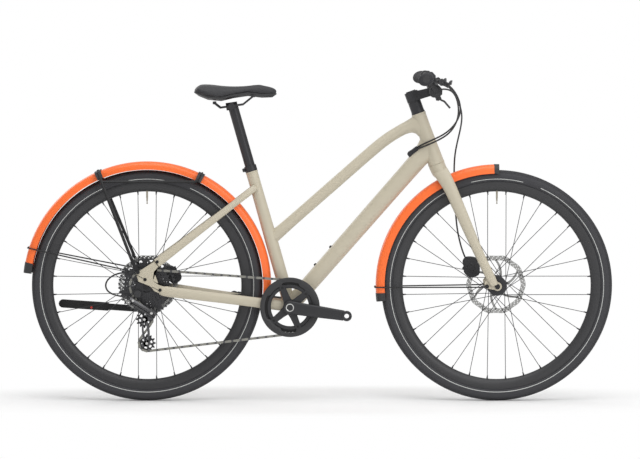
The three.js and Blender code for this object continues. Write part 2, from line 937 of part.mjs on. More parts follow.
// The cage swings on its pivot until the chain closes on an even number of whole links.
function settledCage() {
  const wanted = 2 * Math.round(chainCourse(0).links / 2);
  let [low, high] = [-30, 30];
  const rising = chainCourse(high).links > chainCourse(low).links;
  for (let i = 0; i < 50; i++) {
    const middle = (low + high) / 2;
    if (chainCourse(middle).links > wanted === rising) high = middle;
    else low = middle;
  }
  return { turn: (low + high) / 2, wanted };
}
const cage = settledCage();
const chainPath = chainCourse(cage.turn);
const [guideCentre, tensionCentre] = pulleyCentres(cage.turn);

function chainPoint(link) {
  const place = ((link % cage.wanted) + cage.wanted) % cage.wanted;
  const part = chainPath.course.findLast((p) => p.start <= place);
  const along = place - part.start;
  if (part.run) {
    const share = along / part.length;
    const point = part.run.from.clone().lerp(part.run.to, share);
    point.y = part.y0 + (part.y1 - part.y0) * THREE.MathUtils.smoothstep(share, 0, 1);
    return point;
  }
  const { centre, teeth, side, radius, y } = part.circle;
  const angle = part.first - (side * along * 2 * Math.PI) / teeth;
  return at(centre.x + radius * Math.cos(angle), y, centre.z + radius * Math.sin(angle));
}

// The bearing, in degrees, of a gap between teeth, so that a roller of the chain lies in it.
function gapBearing(index) {
  const wrap = chainPath.course.find((p) => p.circle === chainPath.loop[index]);
  const step = (360 / wrap.circle.teeth) * wrap.circle.side;
  return THREE.MathUtils.radToDeg(wrap.first) - (Math.ceil(wrap.start) - wrap.start) * step;
}

// Points of one tooth, as shares of its height and of the pitch
const bluntTooth = [
  [0, -toothBaseShare],
  [1, -toothTipShare / 2],
  [1, toothTipShare / 2],
  [0, toothBaseShare],
];
const pointedTooth = [
  [0, -toothBaseShare],
  [1, 0],
  [0, toothBaseShare],
];
const coarseTooth = [
  [0, -0.5],
  [1, 0],
];

// A toothed outline about the origin with a gap at the given bearing.
function toothed(teeth, bearing, tooth) {
  const root = pitchRadius(teeth) - toothRoot;
  const tip = pitchRadius(teeth) + toothHeight;
  const points = [];
  for (let i = 0; i < teeth; i++) {
    const middle = bearing + (360 / teeth) * (i + 0.5);
    for (const [rise, share] of tooth) {
      const radius = root + (tip - root) * rise;
      const angle = rad(middle + (360 / teeth) * share);
      points.push([radius * Math.cos(angle), radius * Math.sin(angle)]);
    }
  }
  return points;
}

// Eleven sprockets on one stack, the largest innermost, with narrower drums between them.
function cassette() {
  const half = cogThickness / 2;
  const layers = cassetteTeeth.map((teeth, i) => {
    const y = cogPlane(i);
    const driven = i === drivenCog;
    const outline = toothed(teeth, driven ? gapBearing(0) : 0, driven ? bluntTooth : coarseTooth);
    return plate(outline, y - half, y + half);
  });
  const drums = cassetteTeeth.slice(1).map((teeth, i) => {
    const radius = (pitchRadius(teeth) - toothRoot) * cassetteDrumShare;
    return drum(radius, cogPlane(i + 1), cogPlane(i), 10);
  });
  const last = cogPlane(cassetteTeeth.length - 1);
  const end = -(rearHalf - gap);
  const bore = drum(runningBore(freehubRadius), end - overrun, innermostCogPlane + overrun);
  return cutBy(joined(layers, drums, drum(lockRingRadius, end + gap, last)), bore);
}

// The chain is one ladder: two endless plate bands, wide on outer links and narrow on inner ones,
// joined at every pin by a roller.
function chain() {
  const count = cage.wanted;
  const half = rollerLength / 2 / chainPitch;
  const points = [];
  const faces = [];
  const quad = (a, b, c, d) => faces.push(a, b, c, a, c, d);
  for (let i = 0; i < count * 2; i++) {
    const pin = Math.floor(i / 2);
    const before = i % 2 === 0;
    const here = chainPoint(pin);
    const toward = chainPoint(before ? pin - 1 : pin + 1);
    const centre = here.clone().lerp(toward, half);
    const along = toward.clone().sub(here).normalize();
    if (before) along.negate();
    const lift = at(-along.z, 0, along.x).normalize().multiplyScalar(plateHeight / 2);
    const outer = (pin % 2 === 0) === before;
    const inside = (outer ? outerPlateGap : innerPlateGap) / 2;
    const through = chainPoint(pin + 1).sub(chainPoint(pin - 1)).normalize();
    const pinLift = at(-through.z, 0, through.x).normalize().multiplyScalar(plateHeight / 2);
    const outside = (outerPlateGap + innerPlateGap) / 4 + plateThickness;
    const edges = [[here, -outside, pinLift], [centre, -inside, lift], [centre, inside, lift], [here, outside, pinLift]];
    for (const [spot, y, rise] of edges) {
      const middle = spot.clone().setY(spot.y + y);
      points.push(middle.clone().add(rise), middle.clone().sub(rise));
    }
  }
  const rings = count * 2;
  for (let i = 0; i < rings; i++) {
    const a = i * 8;
    const b = ((i + 1) % rings) * 8;
    for (const plateStart of [0, 4]) {
      const [t0, u0, t1, u1] = [0, 1, 2, 3].map((k) => k + plateStart);
      quad(a + t0, a + t1, b + t1, b + t0);
      quad(a + u0, b + u0, b + u1, a + u1);
      const innerTop = plateStart === 0 ? t1 : t0;
      const innerUnder = plateStart === 0 ? u1 : u0;
      const outerTop = plateStart === 0 ? t0 : t1;
      const outerUnder = plateStart === 0 ? u0 : u1;
      const flip = plateStart === 0;
      const wall = (p, q) => (flip ? quad(a + p, b + p, b + q, a + q) : quad(a + p, a + q, b + q, b + p));
      wall(outerTop, outerUnder);
      if (i % 2 === 1) wall(innerUnder, innerTop);
    }
    if (i % 2 === 0) {
      quad(a + 2, a + 4, b + 4, b + 2);
      quad(a + 3, b + 3, b + 5, a + 5);
      quad(a + 2, a + 3, a + 5, a + 4);
      quad(b + 2, b + 4, b + 5, b + 3);
    }
  }
  const geometry = new THREE.BufferGeometry().setFromPoints(points);
  geometry.setIndex(faces);
  return solid(geometry);
}
piece(bike, "chain", chain(), greySteel);
const cassetteGroup = new THREE.Group();
cassetteGroup.position.set(0, 0, rearAxleHeight);
bike.add(cassetteGroup);
piece(cassetteGroup, "cassette", cassette(), blackSteel);

// Crankset, in a group at the bottom bracket whose X axis lies along the right crank arm.
const crankGroup = new THREE.Group();
crankGroup.position.set(bracketX, 0, bracketZ);
bike.add(crankGroup);

// A crank arm from the spindle to the open pedal hole, flaring outwards; outward is -1 or 1.
function crankArm(outward, bearing) {
  const waist = crankEndRadius * crankWaistShare;
  const outline = [
    ...arc(0, 0, crankHubRadius, 60, 300, 7),
    [crankHubRadius * 2, -waist],
    [crankLength - crankEndRadius * 2, -waist],
    ...arc(crankLength, 0, crankEndRadius, -120, 120, 6),
    [crankLength - crankEndRadius * 2, waist],
    [crankHubRadius * 2, waist],
  ];
  const inner = outward * -crankFace;
  const [y0, y1] = [inner, inner + outward * crankThickness].sort((a, b) => a - b);
  const hole = arc(crankLength, 0, pedalHoleRadius, 0, 360, 8);
  const geometry = skin(plate(outline, y0, y1, [hole]));
  const flare = new THREE.Matrix4().makeShear(crankFlareShare * outward, 0, 0, 0, 0, 0);
  geometry.applyMatrix4(flare);
  return spun(solid(geometry), yAxis, bearing);
}

function spiderArm(bearing) {
  const half = spiderWidth / 2;
  const y0 = spiderPlane - spiderThickness;
  const outline = [
    [0, -half * 1.4],
    [spiderReach, -half / 2],
    [spiderReach, half / 2],
    [0, half * 1.4],
  ];
  return spun(plate(outline, y0, spiderPlane), yAxis, -bearing);
}

function crankRight() {
  const arms = spiderAngles.map(spiderArm);
  const boss = drum(crankHubRadius, crankFace - overrun, spiderPlane, 14);
  const spindle = drum(spindleRadius, spiderPlane - gap, -crankFace - overrun, 12);
  return joined(crankArm(-1, crankAngle), boss, arms, spindle);
}

function crankLeft() {
  const arm = crankArm(1, crankAngle + 180);
  const inner = -crankFace - overrun * 2;
  const boss = drum(crankHubRadius * 0.9, inner, -crankFace + overrun, 16);
  const bore = drum(spindleRadius + gap, inner - overrun, -crankFace - overrun + gap, 12);
  return cutBy(joined(arm, boss), bore);
}

function chainring() {
  const y0 = chainringPlane - chainringThickness / 2;
  const y1 = chainringPlane + chainringThickness / 2;
  const ring = plate(toothed(chainringTeeth, gapBearing(1), pointedTooth), y0, y1, [arc(0, 0, chainringBore, 0, 360, 30)]);
  const tabs = spiderAngles.map((bearing) => {
    const half = spiderWidth / 2;
    const inner = chainringBore - chainringTabReach;
    const outline = [
      [chainringBore + chainringThickness, -half * 1.3],
      [chainringBore + chainringThickness, half * 1.3],
      [inner, half],
      [inner, -half],
    ];
    return spun(plate(outline, y0, y1), yAxis, -bearing);
  });
  return joined(ring, tabs);
}

// The guard is a flat ring with a step down to its inner lip.
function chainGuard() {
  const outer = spiderPlane - spiderThickness - gap;
  const y0 = outer - guardThickness;
  return turned([
    [guardBore, outer],
    [guardBore, outer - guardStep / 2],
    [guardStepRadius, y0 + guardStep / 2],
    [guardStepRadius + guardStep, y0],
    [guardRadius - guardStep, y0],
    [guardRadius, y0 + guardStep / 2],
    [guardRadius, outer],
  ], 20);
}
piece(crankGroup, "crank_right", crankRight(), blackAlloy);
piece(crankGroup, "crank_left", crankLeft(), blackAlloy);
piece(crankGroup, "chainring", chainring(), blackSteel);
piece(crankGroup, "chain_guard", chainGuard(), blackPlastic);

// Frame. Points along its tubes are found from the bottom bracket and the steering axis.
const bracket = at(bracketX, 0, bracketZ);
const frontAxle = at(wheelbase, 0, rearAxleHeight);
const steerUp = at(-Math.cos(rad(headAngle)), 0, Math.sin(rad(headAngle)));
const steerAhead = at(Math.sin(rad(headAngle)), 0, Math.cos(rad(headAngle)));
const headFoot = frontAxle.clone().addScaledVector(steerAhead, -forkRake).addScaledVector(steerUp, forkDrop);
const onSeat = (reach) => bracket.clone().addScaledVector(seatDirection, reach);
const onHead = (reach) => headFoot.clone().addScaledVector(steerUp, reach);

// A tube in the bicycle's middle plane through stations of a point, a depth and a width.
function frameTube(stations, sides = 10) {
  const rings = stations.map(([point, depth, width], i) => {
    const to = stations[Math.min(i + 1, stations.length - 1)][0];
    const from = stations[Math.max(i - 1, 0)][0];
    const along = to.clone().sub(from).normalize();
    const lift = at(-along.z, 0, along.x).normalize().multiplyScalar(depth / 2);
    const side = yAxis.clone().multiplyScalar(width / 2);
    return oval(point, side, lift, sides, Math.PI / sides);
  });
  return loft(rings);
}

// A round body along a slanted axis, from [radius, distance] points up that axis.
function column(foot, direction, profile, facets = 12) {
  const geometry = skin(turned(profile, facets));
  const tilt = new THREE.Quaternion().setFromUnitVectors(yAxis, direction);
  geometry.applyQuaternion(tilt);
  geometry.translate(foot.x, foot.y, foot.z);
  return solid(geometry);
}

const headTubeShape = (slack) => [
  [0, -slack],
  [headBottomRadius + slack, -slack],
  [headTopRadius + slack, headTubeLength * headWaistShare],
  [headTopRadius + slack, headTubeLength + slack],
  [0, headTubeLength + slack],
];

function headTube() {
  const outer = column(headFoot, steerUp, headTubeShape(0));
  const bore = column(headFoot, steerUp, [
    [0, -overrun],
    [bearingRadius + gap, -overrun],
    [bearingRadius + gap, bearingSeat],
    [steererRadius + steererRoom, bearingSeat * 1.5],
    [steererRadius + steererRoom, headTubeLength - bearingSeat * 1.5],
    [bearingRadius + gap, headTubeLength - bearingSeat],
    [bearingRadius + gap, headTubeLength + overrun],
    [0, headTubeLength + overrun],
  ]);
  return cutBy(outer, bore);
}

function seatTube() {
  const tube = column(bracket, seatDirection, [
    [0, 0],
    [seatTubeBottomWidth / 2, 0],
    [seatTubeBottomWidth / 2, seatTubeLength * 0.4],
    [seatTubeTopWidth / 2, seatTubeLength * 0.85],
    [seatTubeTopWidth / 2, seatTubeLength],
    [0, seatTubeLength],
  ]);
  const shell = moved(drum(shellRadius, -shellWidth / 2, shellWidth / 2), bracket.x, 0, bracket.z);
  const bore = column(bracket, seatDirection, [
    [0, shellRadius * 1.5],
    [seatpostRadius + gap, shellRadius * 1.5],
    [seatpostRadius + gap, seatTubeLength + overrun],
    [0, seatTubeLength + overrun],
  ]);
  const cups = drum(cupRadius + gap, -shellWidth, shellWidth);
  return cutBy(joined(tube, shell), bore, moved(cups, bracket.x, 0, bracket.z));
}

const headKeepOut = () => column(headFoot, steerUp, headTubeShape(gap));
const seatKeepOut = () => column(bracket, seatDirection, [
  [0, -overrun],
  [seatTubeBottomWidth / 2 + gap, -overrun],
  [seatTubeBottomWidth / 2 + gap, seatTubeLength * 0.4],
  [seatTubeTopWidth / 2 + gap, seatTubeLength * 0.85],
  [seatTubeTopWidth / 2 + gap, seatTubeLength + overrun],
  [0, seatTubeLength + overrun],
]);
const shellKeepOut = () => {
  const room = drum(shellRadius + gap, -shellWidth, shellWidth);
  return moved(room, bracket.x, 0, bracket.z);
};

// The top tube rises from the seat tube, then bends flatter towards the head tube.
function topTube() {
  const foot = onSeat(topTubeSeatReach);
  const bend = onHead(topTubeHeadReach).add(at(-topTubeBendBehind, 0, -topTubeBendDrop));
  const head = onHead(topTubeHeadReach);
  const early = foot.clone().lerp(bend, 0.86);
  const late = bend.clone().lerp(head, 0.4);
  const mid = early.clone().add(late).add(bend).add(bend).multiplyScalar(0.25);
  const flared = topTubeDepth * flareShare;
  const path = [
    [foot, flared, topTubeWidth],
    [foot.clone().lerp(bend, 0.2), topTubeDepth, topTubeWidth],
    [early, topTubeDepth, topTubeWidth],
    [mid, topTubeDepth, topTubeWidth],
    [late, topTubeDepth, topTubeWidth],
    [head, flared, topTubeWidth],
  ];
  return cutBy(frameTube(path), headKeepOut(), seatKeepOut());
}

// The down tube from the bottom bracket to the head tube, thickened all round by some slack.
function downTubeBody(slack) {
  const head = onHead(downTubeHeadReach);
  return frameTube(downTubeShares.map(([along, deep, wide]) => {
    const spot = bracket.clone().lerp(head, along);
    return [spot, downTubeDepth * deep + slack, downTubeWidth * wide + slack];
  }));
}

// The down tube, with two threaded bosses for a bottle cage on its upper side.
function downTube() {
  const head = onHead(downTubeHeadReach);
  const along = head.clone().sub(bracket).normalize();
  const up = at(-along.z, 0, along.x);
  const bosses = bossShares.map((share) => {
    const foot = bracket.clone().lerp(head, share);
    const reach = downTubeDepth / 2 + bossHeight;
    return column(foot, up, [[0, 0], [bossRadius, 0], [bossRadius, reach], [0, reach]], 6);
  });
  return cutBy(joined(downTubeBody(0), bosses), headKeepOut(), seatKeepOut(), shellKeepOut());
}

// A tube of one side's stays, through stations of x, y, z, depth and width; it stands upright.
function stayTube(stations, sides = 8) {
  const rings = stations.map(([x, y, z, depth, width], i) => {
    const to = stations[Math.min(i + 1, stations.length - 1)];
    const from = stations[Math.max(i - 1, 0)];
    const along = at(to[0] - from[0], 0, to[2] - from[2]).normalize();
    const lift = at(-along.z, 0, along.x).multiplyScalar(depth / 2);
    return oval(at(x, y, z), at(0, width / 2, 0), lift, sides, Math.PI / sides);
  });
  return loft(rings);
}

const dropoutInner = rearHalf;
const dropoutFace = dropoutInner + insertThickness + dropoutThickness;
// An outline beside the rear axle, from shares of the dropout's reach.
const axleTab = (shares) => shares.map(([x, z]) => [x * dropoutReach, rearAxleHeight + z * dropoutReach]);
const bothSides = (make) => [-1, 1].map(make);

const stayFoot = at(stayFootX, 0, rearAxleHeight - stayFootDrop);
const staySide = dropoutInner + insertThickness + dropoutThickness / 2;

// One chainstay's stations, thickened all round by some slack.
const chainstayStations = (side, slack) => chainstayShares.map(([along, across, deep, wide]) => {
  const spot = stayFoot.clone().lerp(bracket, along);
  return [spot.x, side * staySide * across, spot.z, stayDepth * deep + slack, stayWidth * wide + slack];
});

// Both chainstays with their dropout plates, joined by a yoke ahead of the tyre.
function chainstays() {
  const sides = bothSides((side) => {
    const stations = chainstayStations(side, 0);
    const outline = axleTab(dropoutShares);
    const inner = dropoutInner + (side < 0 ? insertThickness + gap : 0);
    const [y0, y1] = [side * inner, side * dropoutFace].sort((a, b) => a - b);
    const end = side < 0 ? [] : [plate(axleTab(leftTabShares), y0, y1)];
    return joined(stayTube(stations), plate(outline, y0, y1), end);
  });
  const from = stayFoot.clone().lerp(bracket, yokeFromShare);
  const wide = 2 * staySide * 0.46;
  const yoke = frameTube([[from, yokeDepth, wide], [bracket.clone(), yokeDepth, wide]], 8);
  const axleRoom = joined(
    drum(axleHeadRadius + gap * 2, -rearLockedWidth, 0),
    drum(axleRadius + gap, -rearLockedWidth, rearLockedWidth),
  );
  const whole = cutBy(joined(sides, yoke), shellKeepOut(), seatKeepOut(), downTubeKeepOut());
  return cutBy(whole, moved(axleRoom, 0, 0, rearAxleHeight));
}

// A little room around the down tube's foot, for the yoke.
function downTubeKeepOut() {
  const head = onHead(downTubeHeadReach);
  const path = [bracket.clone(), bracket.clone().lerp(head, 0.3)];
  return frameTube(path.map((spot) => [spot, downTubeDepth, downTubeWidth + 2 * gap]));
}

function seatstays() {
  const foot = at(seatstayFootX, 0, rearAxleHeight + seatstayFootZ);
  const top = onSeat(seatstayReach);
  const sides = bothSides((side) => {
    const stations = seatstayShares.map(([along, across]) => {
      const spot = foot.clone().lerp(top, along);
      const depth = THREE.MathUtils.lerp(seatstayFootDepth, seatstayTopDepth, Math.min(1, along * 1.6));
      return [spot.x, side * staySide * across, spot.z, depth, seatstayWidth];
    });
    return stayTube(stations);
  });
  const bridge = foot.clone().lerp(top, seatBridgeShare);
  const reach = staySide * 0.41;
  const rung = moved(drum(seatBridgeRadius, -reach, reach, 10), bridge.x, 0, bridge.z);
  return cutBy(joined(sides, rung), seatKeepOut());
}

// The dark insert that holds the axle on the right and carries the derailleur's bolt.
function hanger() {
  const bore = arc(0, rearAxleHeight, axleRadius + gap, 0, 360, 12);
  return plate(axleTab(hangerShares), -dropoutInner - insertThickness, -dropoutInner, [bore]);
}

function seatClamp() {
  const outer = seatpostRadius + gap + clampWall;
  const ring = column(onSeat(seatTubeLength + gap), seatDirection, [
    [seatpostRadius + gap, 0],
    [outer, 0],
    [outer, clampHeight],
    [seatpostRadius + gap, clampHeight],
  ]);
  const behind = at(-seatDirection.z, 0, seatDirection.x);
  const ear = onSeat(seatTubeLength + gap + clampHeight / 2).addScaledVector(behind, outer + clampEar / 4);
  const half = clampEar / 2;
  const lug = frameTube([
    [ear.clone().addScaledVector(behind, -half), clampHeight * 0.8, clampEar * 2],
    [ear.clone().addScaledVector(behind, half), clampHeight * 0.6, clampEar * 1.6],
  ], 6);
  const bolt = moved(drum(clampBoltRadius, -clampEar * 1.5, clampEar * 1.5, 6), ear.x, 0, ear.z);
  const room = column(onSeat(seatTubeLength), seatDirection, [
    [0, -overrun],
    [seatpostRadius + gap, -overrun],
    [seatpostRadius + gap, clampHeight * 2],
    [0, clampHeight * 2],
  ]);
  return cutBy(joined(ring, lug, bolt), room);
}

// An axle with a flat head outside each face that it clamps.
function axle(rightFace, outer) {
  const head = axleHeadRadius;
  return turned([
    [0, -rightFace - axleHeadHeight],
    [head, -rightFace - axleHeadHeight],
    [head, -rightFace - gap],
    [axleRadius, -rightFace - gap],
    [axleRadius, outer + gap],
    [head, outer + gap],
    [head, outer + axleHeadHeight],
    [0, outer + axleHeadHeight],
  ], 12);
}

const bearingShape = (foot) => column(foot, steerUp, [
  [steererRadius + steererRoom, 0],
  [bearingRadius, 0],
  [bearingRadius, bearingSeat - gap],
  [steererRadius + steererRoom, bearingSeat - gap],
]);

// Cups on both sides with the sleeve between them.
function bottomBracket() {
  const half = shellWidth / 2 + gap;
  const bore = runningBore(spindleRadius);
  return turned([
    [bore, -half - cupLip],
    [cupLipRadius, -half - cupLip],
    [shellRadius - gap, -half],
    [cupRadius, -half],
    [cupRadius, half],
    [shellRadius - gap, half],
    [cupLipRadius, half + cupLip],
    [bore, half + cupLip],
  ]);
}

piece(bike, "head_tube", headTube(), sandPaint);
piece(bike, "top_tube", topTube(), sandPaint);
piece(bike, "down_tube", downTube(), sandPaint);
piece(bike, "seat_tube", seatTube(), sandPaint);
piece(bike, "chainstays", chainstays(), sandPaint);
piece(bike, "seatstays", seatstays(), sandPaint);
piece(bike, "hanger_right", hanger(), blackAlloy);
piece(bike, "seat_clamp", seatClamp(), blackAlloy);
piece(bike, "headset_lower", bearingShape(onHead(0)), greySteel);
piece(bike, "headset_upper", bearingShape(onHead(headTubeLength - bearingSeat + gap)), greySteel);
piece(bike, "bottom_bracket", moved(bottomBracket(), bracketX, 0, bracketZ), blackAlloy);
const rearAxle = moved(axle(rearHalf + insertThickness, dropoutFace), 0, 0, rearAxleHeight);
piece(bike, "rear_axle", rearAxle, blackAlloy);

// Everything that turns with the handlebar, in a group whose Z axis is the steering axis and whose
// origin is the foot of the head tube.
const steering = new THREE.Group();
steering.position.copy(headFoot);
steering.rotation.y = rad(headAngle - 90);
bike.add(steering);
const forkEnd = at(forkRake, 0, -forkDrop);

// One fork leg from the crown to its dropout, narrowing downwards.
function forkLeg(side, slack = 0) {
  const rings = forkShares.map(([down, ahead, across, deep, wide]) => {
    const spot = at(forkEnd.x * ahead, side * forkSpread * across, forkEnd.z * down);
    const lean = at(Math.cos(rad(forkLean)), 0, Math.sin(rad(forkLean)));
    const width = at(0, (forkWidth * wide + slack) / 2, 0);
    return oval(spot, width, lean.multiplyScalar((forkDepth * deep + slack) / 2), 8, Math.PI / 8);
  });
  return loft(rings);
}

// Steerer, crown, two legs, and dropout plates with an eyelet for the mudguard stay.
function fork() {
  const steererTop = headTubeLength + spacerHeight + stemHeight - gap;
  const steerer = column(at(0, 0, 0), zAxis, [
    [0, -crownDrop],
    [steererRadius, -crownDrop],
    [steererRadius, steererTop],
    [0, steererTop],
  ]);
  const crownRings = crownShares.map(([down, deep, wide, ahead]) => {
    const spot = at(forkEnd.x * ahead, 0, -gap - crownDrop * down);
    const lift = at(headBottomRadius * deep, 0, 0);
    return oval(spot, at(0, headBottomRadius * wide, 0), lift, 10, Math.PI / 10);
  });
  const ends = bothSides((side) => {
    const inner = frontHalf;
    const [y0, y1] = [side * inner, side * (inner + forkEndThickness)].sort((a, b) => a - b);
    const eyelet = at(forkEnd.x - eyeletBehind, 0, forkEnd.z + eyeletAbove);
    const outline = [
      ...arc(forkEnd.x, forkEnd.z, forkEndRadius, -150, 60, 6),
      [forkEnd.x - forkEndRadius, forkEnd.z + forkEndRadius * 3],
      [eyelet.x - eyeletRadius * 0.4, eyelet.z + eyeletRadius * 2],
      ...arc(eyelet.x, eyelet.z, eyeletRadius, 130, 270, 4),
    ];
    const holes = [
      arc(forkEnd.x, forkEnd.z, axleRadius + gap * 2, 0, 360, 12),
      arc(eyelet.x, eyelet.z, eyeletBore, 0, 360, 6),
    ];
    return plate(outline, y0, y1, holes);
  });
  const hubRoom = moved(drum(axleHeadRadius * 2, -frontHalf, frontHalf), forkEnd.x, 0, forkEnd.z);
  const headRoom = moved(drum(axleHeadRadius + gap, -frontHalf * 2, frontHalf * 2), forkEnd.x, 0, forkEnd.z);
  const endRoom = cutBy(headRoom, moved(drum(forkDepth, -frontHalf - forkEndThickness, frontHalf + forkEndThickness, 8), forkEnd.x, 0, forkEnd.z));
  const upper = joined(steerer, loft(crownRings), bothSides((side) => forkLeg(side)));
  return joined(cutBy(upper, hubRoom, endRoom, axleBore()), ends);
}
const axleBore = () => moved(drum(axleRadius + gap, -frontHalf * 2, frontHalf * 2), forkEnd.x, 0, forkEnd.z);

// Spacers between the headset and the stem.
const spacers = () => column(at(0, 0, headTubeLength + gap), zAxis, [
  [steererRadius + gap, 0],
  [spacerRadius * 1.08, 0],
  [spacerRadius, spacerHeight * 0.2],
  [spacerRadius, spacerHeight - gap * 2],
  [steererRadius + gap, spacerHeight - gap * 2],
]);

// The stem: a steerer clamp, a box-shaped reach and a two-bolt bar clamp, with a cap on top.
function stem() {
  const foot = headTubeLength + spacerHeight + gap;
  const middle = foot + stemHeight / 2;
  const clamp = column(at(0, 0, foot), zAxis, [[0, 0], [stemClampRadius, 0], [stemClampRadius, stemHeight], [0, stemHeight]]);
  const capProfile = [[0, -gap * 10], [spacerRadius * 0.85, -gap * 10], [spacerRadius * 0.75, capHeight], [0, capHeight]];
  const cap = column(at(0, 0, foot + stemHeight), zAxis, capProfile);
  const half = stemHeight / 2;
  const reachRings = [[0, 0.98, 1], [0.5, 0.86, 0.92], [1, 0.8, 1.05]].map(([along, tall, wide]) => {
    const spot = at(stemReach * along, 0, middle + (barHeight - middle) * along);
    return oval(spot, at(0, stemWidth * 0.7 * wide, 0), at(0, 0, half * 1.41 * tall), 4, Math.PI / 4);
  });
  const barClamp = moved(drum(barClampRadius, -barClampWidth / 2, barClampWidth / 2, 10), stemReach, 0, barHeight);
  const bore = moved(drum(barRadius + gap * 3, -barClampWidth, barClampWidth, 12), stemReach, 0, barHeight);
  const steererBore = column(at(0, 0, foot), zAxis, [
    [0, -overrun],
    [steererRadius + gap, -overrun],
    [steererRadius + gap, stemHeight - gap * 2],
    [0, stemHeight - gap * 2],
  ]);
  return cutBy(joined(clamp, cap, loft(reachRings), barClamp), bore, steererBore);
}

// The bar's course for one side, from the stem clamp out to its end.
const barCourse = (side) => barShares.map(([across, back, up]) => {
  return at(stemReach - barSweep * back, side * barHalf * across, barHeight + barRise * up);
});

function handlebar() {
  const left = barCourse(1);
  const right = barCourse(-1);
  return rod([...right.reverse(), ...left.slice(1)], barRadius, 10);
}

// A grip with a palm wing behind it, sleeved over the bar end.
function grip(side) {
  const [inner, outer] = [gripInnerShare, 1].map((share) => barPoint(side, share));
  const rings = gripShares.map(([along, behind, radius]) => {
    const spot = inner.clone().lerp(outer, along);
    spot.x -= gripWing * behind * 0.5;
    return oval(spot, at(gripRadius * radius + gripWing * behind * 0.5, 0, 0), at(0, 0, gripRadius * radius), 10);
  });
  const bar = rod([barPoint(side, gripInnerShare * 0.9), barPoint(side, 1.0001)], barRadius + gap * 1.5, 10);
  return cutBy(loft(rings), bar);
}

// A point on the bar's middle line at a share of its half width.
function barPoint(side, share) {
  const course = barCourse(side);
  const reach = Math.min(share, 1) * barHalf;
  const next = Math.max(1, course.findIndex((p) => Math.abs(p.y) >= reach - weld));
  const [a, b] = [course[next - 1], course[next]];
  return a.clone().lerp(b, (reach - Math.abs(a.y)) / (Math.abs(b.y) - Math.abs(a.y)));
}

piece(steering, "fork", fork(), sandPaint);
piece(steering, "headset_spacers", spacers(), blackAlloy);
piece(steering, "stem", stem(), blackAlloy);
piece(steering, "handlebar", handlebar(), blackAlloy);
piece(steering, "grip_right", grip(-1), darkRubber);
piece(steering, "grip_left", grip(1), darkRubber);
const frontAxlePiece = moved(axle(frontHalf + forkEndThickness, frontHalf + forkEndThickness), forkEnd.x, 0, forkEnd.z);
piece(steering, "front_axle", frontAxlePiece, blackAlloy);

// A spot beside a wheel, from a bearing round its axle and a radius.
const round = (bearing, radius, y = 0) => at(radius * Math.cos(rad(bearing)), y, radius * Math.sin(rad(bearing)));

// A curved mudguard about the origin between two bearings, open towards the tyre.
function guard(radius, skirt, from, to) {
  const steps = Math.round((to - from) / guardStepAngle);
  const rings = Array.from({ length: steps + 1 }, (_, i) => {
    const bearing = from + ((to - from) * i) / steps;
    const outer = guardShares.map(([drop, across]) => {
      return round(bearing, radius - skirt * drop, (guardWidth / 2) * across);
    });
    const inner = guardShares.map(([drop, across]) => {
      const depth = Math.max(skirt * drop, guardWall + skirt * drop * 0.9);
      return round(bearing, radius - Math.min(depth, skirt), (guardWidth / 2 - guardWall) * across);
    });
    return [...outer, ...inner.reverse()];
  });
  return loft(rings);
}

// The rear mudguard with one tab to the seatstay bridge and one to the chainstay yoke.
function rearGuard() {
  const foot = at(seatstayFootX, 0, seatstayFootZ);
  const top = onSeat(seatstayReach).sub(at(0, 0, rearAxleHeight));
  const bridge = foot.lerp(top, seatBridgeShare);
  const bridgeFoot = bridge.clone().setLength(rearGuardRadius - guardWall * 2);
  const bridgeTab = rod([bridgeFoot, bridge.clone()], guardTabRadius, 8);
  const yoke = stayFoot.clone().lerp(bracket, yokeFromShare).sub(at(0, 0, rearAxleHeight));
  const yokeTab = rod([yoke.clone().multiplyScalar(0.96), yoke.clone().multiplyScalar(1.01)], guardTabRadius, 8);
  const bridgeRoom = moved(drum(seatBridgeRadius + gap, -guardWidth, guardWidth, 10), bridge.x, 0, bridge.z);
  const toBracket = bracket.clone().sub(stayFoot).normalize();
  const lift = at(-toBracket.z, 0, toBracket.x).multiplyScalar(yokeDepth);
  const yokeRoom = loft([-gap, yokeDepth * 2].map((ahead) => {
    const spot = yoke.clone().addScaledVector(toBracket, ahead);
    return oval(spot, at(0, guardWidth, 0), lift, 4, Math.PI / 4);
  }));
  const band = guard(rearGuardRadius, rearGuardSkirt, rearGuardFromAngle, rearGuardToAngle);
  return moved(joined(band, cutBy(bridgeTab, bridgeRoom), cutBy(yokeTab, yokeRoom)), 0, 0, rearAxleHeight);
}

// The wire that ties the mudguard's tail to both dropouts, round its outside.
function rearGuardStay() {
  const tail = round(rearStayAngle, rearGuardRadius + wireRadius + gap);
  const near = round(rearStayAngle - 0.5, rearGuardRadius - rearGuardSkirt * 1.4);
  const half = guardWidth / 2 + wireRadius + gap;
  const face = dropoutFace + gap * 2 + stayEyeThickness;
  const middle = face + stayEyeThickness / 2;
  const one = (side) => [
    at(stayEyeX, side * middle, stayEyeZ),
    at(stayEyeX - stayEyeRadius * 3, side * middle, stayEyeZ + stayEyeRadius / 2),
    at(near.x, side * half, near.z),
    at(tail.x + wireRadius, side * half, tail.z),
    at(tail.x, side * half * 0.85, tail.z),
  ];
  const wire = rod([...one(1), ...one(-1).reverse()], wireRadius, 6);
  const eyes = bothSides((side) => {
    const [y0, y1] = [side * face, side * (face + stayEyeThickness)].sort((a, b) => a - b);
    return moved(drum(stayEyeRadius, y0, y1, 8), stayEyeX, 0, stayEyeZ);
  });
  return moved(joined(wire, eyes), 0, 0, rearAxleHeight);
}

